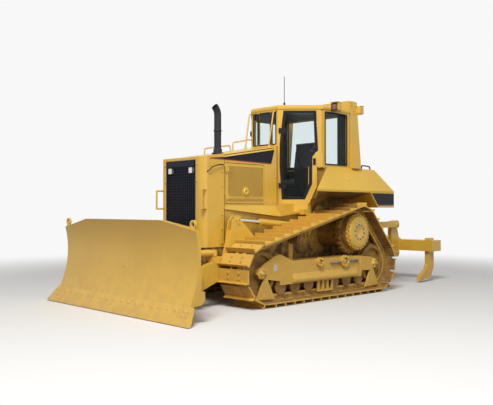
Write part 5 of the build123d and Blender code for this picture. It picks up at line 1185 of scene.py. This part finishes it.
@dataclass
class Rear:
    """Panels, bolts, handles, work lamps, caps, latches and studs on the fenders, tank and roll bar."""

    tank_face: float = 1.12
    tank_top: float = 2.0
    cap_station: float = -2.86
    cap_y: float = 0.3
    latch: Point = (-2.07, 0.9573, 1.8183)
    stud_corner: Pair = (-2.66, 0.66)
    stud_pitch: Pair = (0.028, 0.03)
    stud_count: tuple[int, int] = (12, 3)
    bar_foot: float = 0.86
    bar_rise: float = 1.11
    bar_lean: float = 0.09
    lamp_half: Point = (0.055, 0.07, 0.07)
    lamp_places: tuple[tuple[int, Point], ...] = ((1, (-1.90, 0.86, 2.95)), (-1, (-2.59, 0.7725, 2.9725)))
    bolt: Bolt = Bolt(across=0.026, head=0.012, washer=0.018)
    panel: Outline = ((-2.475, 1.592), (-2.64, 1.402), (-3.105, 1.402), (-3.105, 1.592))

    def build(self) -> None:
        """Make every piece."""
        self.panels()
        self.bolts()
        self.handles()
        self.lamps()
        self.caps()

    def panels(self) -> None:
        """Black panel with a red and a pale line on each tank's side."""
        black, red, pale = Mould(), Mould(), Mould()
        for mould, outline, depth in (
                (black, self.panel, 0.0035),
                (red, ((-2.645, 1.396), (-2.655, 1.384), (-3.105, 1.384), (-3.105, 1.396)), 0.004),
                (pale, ((-2.658, 1.379), (-2.662, 1.373), (-3.105, 1.373), (-3.105, 1.379)), 0.004)):
            mould.plate(outline, self.tank_face - 0.002, depth)
        black.mirrored().cast("tank_panel", BLACK)
        red.mirrored().cast("tank_red_line", RED)
        pale.mirrored().cast("tank_pale_line", LENS)

    def bolts(self) -> None:
        """Bolts of the roll bar's feet and corners and of the fenders."""
        marks = [Mark(at(station, 0.675, 2.045), UP) for station in (-2.585, -2.44)]
        lean = Vector((0, self.bar_rise, self.bar_lean)).normalized()
        for station in (-2.38, -2.515):
            for z in (3.045, 3.09):
                y = self.bar_foot - self.bar_lean * (z - self.tank_top) / self.bar_rise
                marks.append(Mark(at(station, y, z), lean))
        marks += [Mark(at(station, self.tank_face, 1.615), LEFT) for station in (-1.9, -2.2, -2.9)]
        SPREAD.cast("roll_bar_bolts", self.bolt.shape(), both_sides(marks), YELLOW)

    def handles(self) -> None:
        """Dark grab handles on the tank's top, behind the roll bar."""
        path = [at(-2.74, 0.72, 1.998), at(-2.76, 0.72, 2.07), at(-2.98, 0.72, 2.06), at(-2.995, 0.72, 1.995)]
        Mould().tube(rounded_path(path, 0.03), 0.011).mirrored().cast("rear_handles", BLACK)

    def lamps(self) -> None:
        """Housings with a peak, oblong rims and lenses of the work lamps."""
        housings, rims, lenses = Mould(), Mould(), Mould()
        half = Vector(self.lamp_half)
        for front, (x, y, z) in self.lamp_places:
            housings.box(at(x, y, z) - half, at(x, y, z) + half, 0.018)
            peak = x + front * 0.03
            housings.box(at(peak - 0.05, y - 0.074, z + 0.066), at(peak + 0.05, y + 0.074, z + 0.074), 0.003)
            face = at(x + front * 0.053, y, z - 0.004)
            for y0, y1, z0, z1 in ((-0.062, 0.062, 0.042, 0.056), (-0.062, 0.062, -0.056, -0.042),
                                   (-0.062, -0.048, -0.056, 0.056), (0.048, 0.062, -0.056, 0.056)):
                edge = [(y0, z0), (y1, z0), (y1, z1), (y0, z1)]
                rims.prism(edge, face, LEFT, UP, front * 0.010, 0.002, 1)
            lenses.prism(oblong(0.05, 0.044), face, LEFT, UP, front * 0.006, 0.002, 1)
        housings.mirrored().cast("work_lamp_housings", YELLOW)
        rims.mirrored().cast("work_lamp_rims", PLASTIC)
        lenses.mirrored().cast("work_lamp_lenses", AMBER)

    def caps(self) -> None:
        """Filler caps and tread studs on the tank's top and latches on the fenders' slopes."""
        profile = [(0, 0.05), (0.04, 0.05), (0.052, 0.044), (0.055, 0.03), (0.055, 0.012), (0.07, 0.01),
                   (0.07, -0.004), (0, -0.004)]
        caps = Mould()
        for y in (-self.cap_y, self.cap_y):
            caps.turned(profile, at(self.cap_station, y, self.tank_top), UP, 32)
        caps.cast("filler_caps", BLACK)
        slope = Vector((0, 0.37, 0.32)).normalized()
        dish = [(0, 0.002), (0.02, 0.002), (0.023, 0.008), (0.034, 0.008), (0.044, 0.001), (0.044, -0.004),
                (0, -0.004)]
        Mould().turned(dish, at(*self.latch), slope, 24).mirrored().cast("fender_latches", YELLOW)
        button = [(0, 0.004), (0.006, 0.004), (0.009, 0.0), (0.009, -0.002), (0, -0.002)]
        stud = Mould().turned(button, Vector(), UP, 8)
        marks = []
        rows, columns = self.stud_count
        for row in range(rows):
            for column in range(columns):
                x = self.stud_corner[0] - row * self.stud_pitch[0]
                y = self.stud_corner[1] + (column + 0.5 * (row % 2)) * self.stud_pitch[1]
                marks.append(Mark(at(x, y, self.tank_top), UP))
        SPREAD.cast("tread_studs", stud.shape("stud"), both_sides(marks), YELLOW)


@dataclass
class BladeGear:
    """Edge bolts and welds of the blade and pins of its frame."""

    edge_top: Pair = (1.600, 0.215)
    edge_tip: Pair = (1.741, 0.010)
    bolt_count: int = 17
    bolt_pitch: float = 0.16
    bolt_share: float = 0.28
    end_bolts: Pair = (1.44, 1.52)
    end_shares: Pair = (0.25, 0.5)
    ribs: tuple[float, ...] = (0.675, 1.05, 1.35)
    rib_thickness: float = 0.025
    back_face: float = 1.381
    lift_ear: Point = (0.056, 0.655, 1.185)
    trunnion: Point = (-0.25, 0.655, 0.60)

    def build(self) -> None:
        """Make every piece."""
        self.edge_bolts()
        self.welds()
        self.pins()

    def edge_bolts(self) -> None:
        """Countersunk bolts along the cutting edge."""
        run = Vector((self.edge_tip[0] - self.edge_top[0], 0, self.edge_tip[1] - self.edge_top[1]))
        out = Vector((-run.z, 0, run.x)).normalized()
        plough = [(0, 0.004), (0.010, 0.004), (0.0105, 0.0015), (0.018, 0.003), (0.021, 0.0),
                  (0.021, -0.003), (0, -0.003)]
        head = Mould().turned(plough, Vector(), UP, 12)
        x, z = self.edge_top
        places = [((number - self.bolt_count // 2) * self.bolt_pitch, self.bolt_share)
                  for number in range(self.bolt_count)]
        places += [(side * y, share) for y in self.end_bolts for share in self.end_shares for side in (-1, 1)]
        marks = [Mark(at(x, y, z) + run * share, out) for y, share in places]
        SPREAD.cast("edge_bolts", head.shape("plough_bolt"), marks, YELLOW, Body.BLADE)

    def welds(self) -> None:
        """Weld beads along the ribs on the blade's back."""
        bead = Mould()
        for rib in self.ribs:
            for y in (rib, rib - self.rib_thickness):
                bead.tube([at(self.back_face, y, z) for z in (0.30, 0.5, 0.7, 0.9, 1.03)], 0.006, 6)
        bead.mirrored().cast("rib_welds", YELLOW, Body.BLADE)

    def pins(self) -> None:
        """Pin heads with keeper plates on the lift ears, and caps on the trunnions."""
        head = [(0, 0.012), (0.026, 0.012), (0.03, 0.008), (0.03, -0.004), (0, -0.004)]
        pins = Mould().turned(head, at(*self.lift_ear), LEFT, 24)
        cap = [(0, 0.016), (0.05, 0.016), (0.058, 0.01), (0.06, -0.004), (0, -0.004)]
        pins.turned(cap, at(*self.trunnion), LEFT, 28)
        keeper = [(-0.02, -0.055), (0.02, -0.055), (0.02, -0.02), (-0.02, -0.02)]
        pins.prism(keeper, at(*self.lift_ear) + LEFT * 0.012, BACK, UP, 0.008, 0.002, 1)
        pins.mirrored().cast("frame_pins", YELLOW, Body.PUSH)


@dataclass
class Cushion:
    """A stitched pad, swollen by a short cloth simulation and then grooved along its channels."""

    name: str
    size: Vector
    place: Matrix
    channels: tuple[float, ...]
    cross: tuple[float, ...] = ()
    voxel: float = 0.011
    pressure: float = 4.0
    frames: int = 20
    swell: float = 0.016
    groove: float = 0.007
    groove_width: float = 0.010
    edge: float = 0.022
    seam_height: float = 0.55
    crown: float = 0.75

    def block(self) -> bpy.types.Object:
        """Voxel mesh of the pad before it swells."""
        half = self.size / 2
        rough = Mould().box(-half, half, self.edge).shape(self.name)
        bpy.context.scene.collection.objects.link(rough)
        remesh = rough.modifiers.new("voxels", "REMESH")
        remesh.mode = "VOXEL"
        remesh.voxel_size = self.voxel
        mesh = bpy.data.meshes.new_from_object(rough.evaluated_get(bpy.context.evaluated_depsgraph_get()))
        rough.modifiers.remove(remesh)
        rough.data = mesh
        return rough

    def swollen(self, pad: bpy.types.Object) -> list[Vector]:
        """Run the cloth and cap how far it moves.

        Args:
            pad: The voxel mesh.

        Returns:
            Places of its vertices after the cap.
        """
        start = [vertex.co.copy() for vertex in pad.data.vertices]
        held = pad.vertex_groups.new(name="held")
        floor = -self.size.z / 2 + self.voxel * 1.5
        held.add([number for number, point in enumerate(start) if point.z < floor], 1.0, "REPLACE")
        cloth = pad.modifiers.new("cloth", "CLOTH")
        cloth.settings.quality = 4
        cloth.settings.vertex_group_mass = held.name
        cloth.settings.use_pressure = True
        cloth.settings.uniform_pressure_force = self.pressure
        cloth.settings.effector_weights.gravity = 0.0
        cloth.collision_settings.use_collision = False
        cloth.point_cache.frame_end = self.frames
        for frame in range(1, self.frames + 1):
            bpy.context.scene.frame_set(frame)
        shown = pad.evaluated_get(bpy.context.evaluated_depsgraph_get()).data
        moved = [vertex.co.copy() for vertex in shown.vertices]
        pad.modifiers.remove(cloth)
        bpy.context.scene.frame_set(1)
        capped = []
        for before, after in zip(start, moved):
            step = after - before
            capped.append(before + step * min(1.0, self.swell / max(step.length, 1e-6)))
        return capped

    def build(self, body: Body) -> bpy.types.Object:
        """Make the pad, sew its channels and set it in its place.

        Args:
            body: Body that carries the pad.

        Returns:
            The pad.
        """
        pad = self.block()
        half = self.size / 2
        for vertex, point in zip(pad.data.vertices, self.swollen(pad)):
            if point.z > -half.z * 0.5:
                lines = [abs(point.y - y) for y in self.channels] + [abs(point.x - x) for x in self.cross]
                lines.append(abs(point.z - half.z * self.seam_height) * 1.4)
                depth = sum(math.exp(-((gap / self.groove_width) ** 2)) for gap in lines)
                outward = UP if point.z >= half.z * self.crown else Vector((point.x, point.y, 0)).normalized()
                point = point - outward * (self.groove * min(depth, 1.0))
            vertex.co = point
        pad.data.transform(self.place)
        for face in pad.data.polygons:
            face.use_smooth = True
        pad.data.materials.clear()
        pad.data.materials.append(VINYL.material())
        soft = pad.modifiers.new("smooth", "SUBSURF")
        soft.levels = soft.render_levels = 1
        return settle(pad, body)


@dataclass
class Cabin:
    """Window seals, dark trim, gussets, grab tubes, handles, controls and the padded seat of the cab."""

    front: float = -1.150
    rear: float = -2.330
    nose_half: float = 0.29
    half: float = 0.79
    wall: float = 0.025
    sill: float = 1.42
    shelf: float = 2.0
    eaves: float = 2.90
    side_window: tuple[float, float, float, float] = (-2.25, -1.70, 2.04, 2.86)
    screen: Pair = (2.355, 2.865)
    screen_panes: Outline = ((-0.25, -0.151), (-0.129, 0.129), (0.151, 0.25))
    rear_window: tuple[float, float, float] = (0.56, 2.06, 2.86)
    seal: float = 0.011
    seat_rear: float = -2.18
    handle_run: float = 0.572
    arm_y: float = 0.34

    def build(self) -> None:
        """Make every piece."""
        self.seals()
        self.lining()
        self.pillars()
        self.grab_tubes()
        self.door_handles()
        self.levers()
        self.seat()

    def door_point(self, run: float, z: float, out: float = 0.0) -> Vector:
        """Point on the left door's plane.

        Args:
            run: Distance along the plane from the front corner.
            z: Height.
            out: Distance out from the plane.

        Returns:
            The point.
        """
        return at(self.front + SKEW * (out - run), self.nose_half + SKEW * (out + run), z)

    def seat_point(self, ahead: float, y: float, rise: float) -> Vector:
        """Point from the seat's rear edge and the cab's floor."""
        return at(self.seat_rear + ahead, y, self.sill + rise)

    def seals(self) -> None:
        """Rubber seals around the fixed panes."""
        rubber = Mould()
        rear, front, low, high = self.side_window
        for y in (-self.half - 0.001, self.half + 0.001):
            rubber.tube(self.loop(at(rear, y, low), at(front, y, high)), self.seal, 8, closed=True)
        low, high = self.screen
        x = self.front + 0.001
        for left, right in self.screen_panes:
            rubber.tube(self.loop(at(x, left, low), at(x, right, high)), self.seal * 0.8, 8, closed=True)
        half, low, high = self.rear_window
        x = self.rear - 0.001
        rubber.tube(self.loop(at(x, -half, low), at(x, half, high)), self.seal, 8, closed=True)
        rubber.cast("window_seals", RUBBER)

    @staticmethod
    def loop(first: Vector, last: Vector) -> list[Vector]:
        """Closed path with small bends around an upright pane.

        Args:
            first: Lower corner of the pane.
            last: Opposite upper corner.

        Returns:
            Points along the path.
        """
        corners = [first, Vector((*last.xy, first.z)), last, Vector((*first.xy, last.z))]
        middle = (corners[-1] + corners[0]) / 2
        return rounded_path([middle, *corners, middle], 0.02, 4)[:-1]

    def lining(self) -> None:
        """Dark headliner, panels around the windows, shelves, low walls and floor mat."""
        inset = self.wall + 0.006
        nose, bend = self.nose_half - inset * 0.4, self.front - (self.half - self.nose_half)
        aft, fore, tip, wide = self.rear + inset, bend - inset, self.front - inset * 1.4, self.half - inset
        roof = [(aft, -wide), (fore, -wide), (tip, -nose), (tip, nose), (fore, wide), (aft, wide)]
        trim = Mould().prism(roof, at(0, 0, self.eaves - 0.030), AHEAD, LEFT, 0.028, 0.006)
        rear, front, low, high = self.side_window
        face = self.half - self.wall
        for side in (-1, 1):
            inner, outer = sorted((side * (face - 0.010), side * (face - 0.001)))
            for x0, x1, top in ((aft, rear, high + 0.01), (front, fore, high + 0.01), (rear, front, low)):
                trim.box(at(x0, inner, self.shelf + 0.002), at(x1, outer, top), 0.003)
            inner, outer = sorted((side * 0.60, side * (face - 0.012)))
            trim.box(at(aft, inner, self.shelf + 0.001), at(bend + 0.03, outer, self.shelf + 0.014), 0.004)
            inner, outer = sorted((side * 0.583, side * 0.594))
            corner = at(self.front - 0.40, outer, self.shelf - 0.002)
            trim.box(at(aft, inner, self.sill + 0.02), corner, 0.003)
        half, low, high = self.rear_window
        back = self.rear + self.wall
        over = self.shelf + 0.016
        for y0, y1, z0, z1 in ((-wide, -half, over, high + 0.01), (half, wide, over, high + 0.01),
                               (-half, half, over, low), (-0.57, 0.57, self.sill + 0.02, self.shelf + 0.002)):
            trim.box(at(back + 0.001, y0, z0), at(back + 0.011, y1, z1), 0.003)
        low, high = self.screen
        inside = self.front - self.wall
        for y0, y1, z0, z1 in ((-0.245, 0.245, 2.245, low), (-0.152, -0.128, low, high),
                               (0.128, 0.152, low, high)):
            trim.box(at(inside - 0.011, y0, z0), at(inside - 0.001, y1, z1), 0.003)
        aft, fore, tip = self.rear + 0.05, self.front - 0.33, self.front - 0.05
        mat = [(aft, -0.58), (fore, -0.58), (tip, -0.25), (tip, 0.25), (fore, 0.58), (aft, 0.58)]
        trim.prism(mat, at(0, 0, self.sill + 0.001), AHEAD, LEFT, 0.012, 0.003)
        trim.cast("cab_lining", PLASTIC)

    def pillars(self) -> None:
        """Dark trim inside the door posts, painted gussets, corner strips and plates under the cab's edge."""
        low, high = self.shelf + 0.18, self.eaves - 0.03
        rear_post = [(0.627, low), (0.668, low), (0.668, high), (0.606, high)]
        front_post = [(0.012, self.sill + 0.04), (0.060, self.sill + 0.06), (0.030, 2.0), (0.030, 2.35),
                      (0.086, 2.866), (0.012, 2.866)]
        trim = Mould()
        for outline in (rear_post, front_post):
            trim.prism(outline, self.door_point(0.0, 0.0, -self.wall - 0.011), DOOR_RUN, UP, -0.009)
        inside = self.front - self.wall
        trim.box(at(inside - 0.011, 0.248, 2.25), at(inside - 0.001, 0.268, 2.872), 0.003)
        trim.mirrored().cast("pillar_trim", PLASTIC)
        corner = [(0.6125, 1.99), (0.7045, 1.99), (0.7045, 2.192), (0.6825, 2.192), (0.6125, 2.102)]
        gusset = Mould().prism(corner, self.door_point(0.0, 0.0), DOOR_RUN, UP, self.wall, 0.002, 1)
        bend = self.front - (self.half - self.nose_half)
        gusset.box(at(bend - 0.055, 0.742, self.shelf + 0.002), at(bend + 0.006, 0.7655, high), 0.003)
        gusset.box(at(-1.62, 0.47, 1.245), at(-1.372, 0.618, 1.335), 0.006)
        gusset.mirrored().cast("door_gussets", YELLOW)

    def grab_tubes(self) -> None:
        """Bent tubes from the cowl up the cab's front posts."""
        path = [at(-0.985, 0.262, 2.285), at(-0.985, 0.262, 2.36), at(-1.075, 0.268, 2.86),
                at(self.front - 0.005, 0.27, 2.882)]
        tubes = Mould().tube(rounded_path(path, 0.05), 0.012)
        foot = [(0, 0.012), (0.02, 0.012), (0.026, 0.006), (0.026, -0.02), (0, -0.02)]
        tubes.turned(foot, at(-0.985, 0.262, 2.305), UP, 16)
        tubes.mirrored().cast("cab_grab_tubes", YELLOW)

    def door_handles(self) -> None:
        """Latch handles with a lock behind the doors."""
        run = self.handle_run
        foot = self.door_point(run, 2.075, 0.008)
        handle = Mould().prism(oblong(0.022, 0.05), foot, DOOR_RUN, UP, -0.010, 0.003)
        bends = ((2.035, 0.004), (2.04, 0.034), (2.105, 0.034), (2.112, 0.004))
        grip = [self.door_point(run, z, out) for z, out in bends]
        handle.tube(rounded_path(grip, 0.012), 0.007)
        lock = [(0, 0.008), (0.009, 0.008), (0.011, 0.005), (0.011, -0.002), (0, -0.002)]
        handle.turned(lock, self.door_point(run, 2.12, 0.006), DOOR_OUT, 16)
        handle.mirrored().cast("door_handles", PLASTIC)

    def levers(self) -> None:
        """Armrest pads, lever knobs with boots and the dash's round dials."""
        parts = Mould()
        knob = [(0, 0.09), (0.018, 0.088), (0.03, 0.072), (0.033, 0.05), (0.026, 0.022), (0.018, 0.0),
                (0, 0.0)]
        boot = [(0, 0.07), (0.026, 0.07), (0.032, 0.058), (0.028, 0.052), (0.040, 0.038), (0.034, 0.032),
                (0.052, 0.014), (0.056, -0.002), (0, -0.002)]
        for y in (-self.arm_y, self.arm_y):
            parts.box(self.seat_point(0.14, y - 0.055, 0.562), self.seat_point(0.44, y + 0.055, 0.60), 0.014)
            parts.turned(knob, self.seat_point(0.59, y, 0.665), UP, 20)
            parts.turned(boot, self.seat_point(0.562, y, 0.56), UP, 20)
        dial = [(0, 0.004), (0.030, 0.004), (0.031, 0.010), (0.036, 0.010), (0.039, 0.004), (0.039, -0.003),
                (0, -0.003)]
        for y in (-0.12, 0.0, 0.12):
            parts.turned(dial, at(self.front - self.wall - 0.111, y, 2.15), BACK, 20)
        parts.cast("cab_levers", PLASTIC)

    def seat(self) -> None:
        """Bellows foot, padded cushion and padded backrest."""
        foot = Mould()
        for number in range(5):
            low = 0.013 + number * 0.056
            inset = 0.012 if number % 2 else 0.0
            foot.box(self.seat_point(0.08 + inset, -0.16 + inset, low),
                     self.seat_point(0.48 - inset, 0.16 - inset, low + 0.058), 0.012)
        foot.box(self.seat_point(0.065, -0.22, 0.285), self.seat_point(0.52, 0.22, 0.305), 0.008)
        foot.cast("seat_foot", RUBBER, slot=Slot.SEAT)
        place = Matrix.Translation(self.seat_point(0.305, 0, 0.352))
        pad = Cushion("seat_cushion", Vector((0.44, 0.44, 0.085)), place, (-0.11, 0.11)).build(Body.CHASSIS)
        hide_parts("operator_seat")
        lean = math.atan2(0.10, 0.65)
        turn = Matrix.Rotation(math.radians(90) - lean, 4, "Y")
        place = Matrix.Translation(self.seat_point(0.07, 0, 0.765)) @ turn
        size = Vector((0.56, 0.42, 0.075))
        Cushion("seat_backrest", size, place, (-0.105, 0.105), (-0.14, 0.06)).build(Body.CHASSIS)


@dataclass
class RipperGear:
    """Pin heads with keeper plates at both ends of the ripper's links."""

    front: float = -3.30
    back: float = -4.28
    low: float = 0.52
    high: float = 1.05
    link_face: float = 0.42

    def build(self) -> None:
        """Make every piece."""
        head = [(0, 0.014), (0.034, 0.014), (0.04, 0.009), (0.04, -0.003), (0, -0.003)]
        keeper = [(-0.016, 0.028), (0.016, 0.028), (0.016, 0.062), (-0.016, 0.062)]
        for name, station, body in (("ripper_mount_pins", self.front, Body.CHASSIS),
                                    ("ripper_beam_pins", self.back, Body.RIPPER)):
            pins = Mould()
            for z in (self.low, self.high):
                pins.turned(head, at(station, self.link_face, z), LEFT, 24)
                pins.prism(keeper, at(station, self.link_face + 0.006, z), BACK, UP, 0.006, 0.0015, 1)
            pins.mirrored().cast(name, YELLOW, body)


@dataclass
class Studio:
    """Pale floor, soft lamps and the camera at the photograph's viewing angle."""

    eye: Point = (7.9125, 7.376, 1.328)
    yaw: float = -134.12
    pitch: float = 0.607
    focal_pixels: float = 662.3
    image_width: int = 493
    sensor: float = 36.0
    floor_half: float = 60.0
    floor_tint: Colour = (0.80, 0.79, 0.77)
    backdrop: Colour = (0.94, 0.94, 0.94)
    key: tuple[Point, float, float] = ((8.8, 6.4, 11.5), 5.0, 1850.0)
    fill: tuple[Point, float, float] = ((3.0, 13.0, 5.0), 8.0, 260.0)
    target: Point = (0.3, 0.0, 1.0)
    sky: float = 0.26
    floor_bounce: Colour = (0.30, 0.24, 0.20)
    floor_near: float = 4.5
    floor_far: float = 11.0

    def build(self) -> None:
        """Make the camera, floor, lamps and world."""
        self.camera()
        self.floor()
        for name, (place, size, power) in (("key", self.key), ("fill", self.fill)):
            self.lamp(name, Vector(place), size, power)
        self.world()
        bpy.context.scene.view_settings.view_transform = "Standard"

    def camera(self) -> None:
        """Camera whose lens is worked out from the photograph's frame."""
        data = bpy.data.cameras.new("camera")
        data.sensor_fit = "HORIZONTAL"
        data.sensor_width = self.sensor
        data.lens = self.focal_pixels / self.image_width * self.sensor
        data.clip_end = 500.0
        made = bpy.data.objects.new("camera", data)
        yaw, pitch = math.radians(self.yaw), math.radians(self.pitch)
        ahead = Vector((math.cos(pitch) * math.cos(yaw), math.cos(pitch) * math.sin(yaw), math.sin(pitch)))
        made.location = self.eye
        made.rotation_mode = "QUATERNION"
        made.rotation_quaternion = ahead.to_track_quat("-Z", "Y")
        bpy.context.scene.collection.objects.link(made)
        bpy.context.scene.camera = made

    @staticmethod
    def seen(graph: Graph) -> Wire:
        """One for what the camera sees, straight, by gloss or through glass."""
        rays = graph.add("ShaderNodeLightPath").socket.node.outputs
        parts = [Wire(graph, rays[f"Is {kind} Ray"]) for kind in ("Camera", "Glossy", "Transmission")]
        settings = {"operation": "ADD", "use_clamp": True}
        return graph.add("ShaderNodeMath", settings, {0: parts[0] + parts[1], 1: parts[2]})

    def floor(self) -> None:
        """Wide pale floor under the tracks."""
        mesh = bpy.data.meshes.new("floor")
        corners = [(x, y, 0.0) for x, y in oblong(self.floor_half, self.floor_half)]
        mesh.from_pydata(corners, [], [(0, 1, 2, 3)])
        made = bpy.data.objects.new("floor", mesh)
        bpy.context.scene.collection.objects.link(made)
        material = bpy.data.materials.new("pale_floor")
        material.use_nodes = True
        material.node_tree.nodes.clear()
        graph = Graph(material.node_tree)
        place = graph.place()
        grain = graph.noise(place, 3.0, 4.0)
        colour = graph.mix(grain * 0.25, self.floor_tint, toned(self.floor_tint, 0.93))
        shown = graph.mix(self.seen(graph), self.floor_bounce, colour)
        matt = graph.principled({"Base Color": shown, "Roughness": 0.9})
        glow = graph.add("ShaderNodeEmission", None, {"Color": (*self.backdrop, 1.0), "Strength": 1.0})
        away = graph.add("ShaderNodeVectorMath", {"operation": "LENGTH"}, {0: place}, out="Value")
        share = away.over(self.floor_near, self.floor_far) * self.seen(graph)
        both = graph.add("ShaderNodeMixShader", None, {0: share, 1: matt, 2: glow})
        graph.add("ShaderNodeOutputMaterial", None, {"Surface": both})
        mesh.materials.append(material)

    def lamp(self, name: str, place: Vector, size: float, power: float) -> None:
        """Square soft lamp that points at the machine's middle.

        Args:
            name: Name of the lamp.
            place: Where it hangs.
            size: Side of the square, in metres.
            power: Light in watts.
        """
        data = bpy.data.lights.new(name, "AREA")
        data.size = size
        data.energy = power
        made = bpy.data.objects.new(name, data)
        made.location = place
        made.rotation_mode = "QUATERNION"
        made.rotation_quaternion = (Vector(self.target) - place).to_track_quat("-Z", "Y")
        bpy.context.scene.collection.objects.link(made)

    def world(self) -> None:
        """Even sky that shows as a pale backdrop."""
        world = bpy.data.worlds.new("studio")
        world.use_nodes = True
        world.node_tree.nodes.clear()
        graph = Graph(world.node_tree)
        strength = self.seen(graph) * (1.0 - self.sky) + self.sky
        sky = graph.add("ShaderNodeBackground", None, {"Color": (*self.backdrop, 1.0), "Strength": strength})
        graph.add("ShaderNodeOutputWorld", None, {"Surface": sky})
        bpy.context.scene.world = world


def dress_nodes(nodes: dict[str, bpy.types.Object]) -> None:
    """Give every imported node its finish.

    Args:
        nodes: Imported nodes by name.
    """
    for name, node in nodes.items():
        material = NODE_FINISHES.get(name, YELLOW).material()
        node.data.materials.clear()
        node.data.materials.append(material)
        LOG.info("dressed %s with %s", name, material.name)


def main() -> None:
    """Load the frame, dress it and build what goes around it."""
    logging.basicConfig(level=logging.INFO, format="%(name)s: %(message)s")
    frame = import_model()
    dress_nodes(frame["nodes"])
    for group in (Undercarriage(), Bonnet(), Cabin(), Rear(), BladeGear(), RipperGear()):
        group.build()
    Studio().build()
    bpy.context.view_layer.update()


if __name__ == "__main__":
    main()
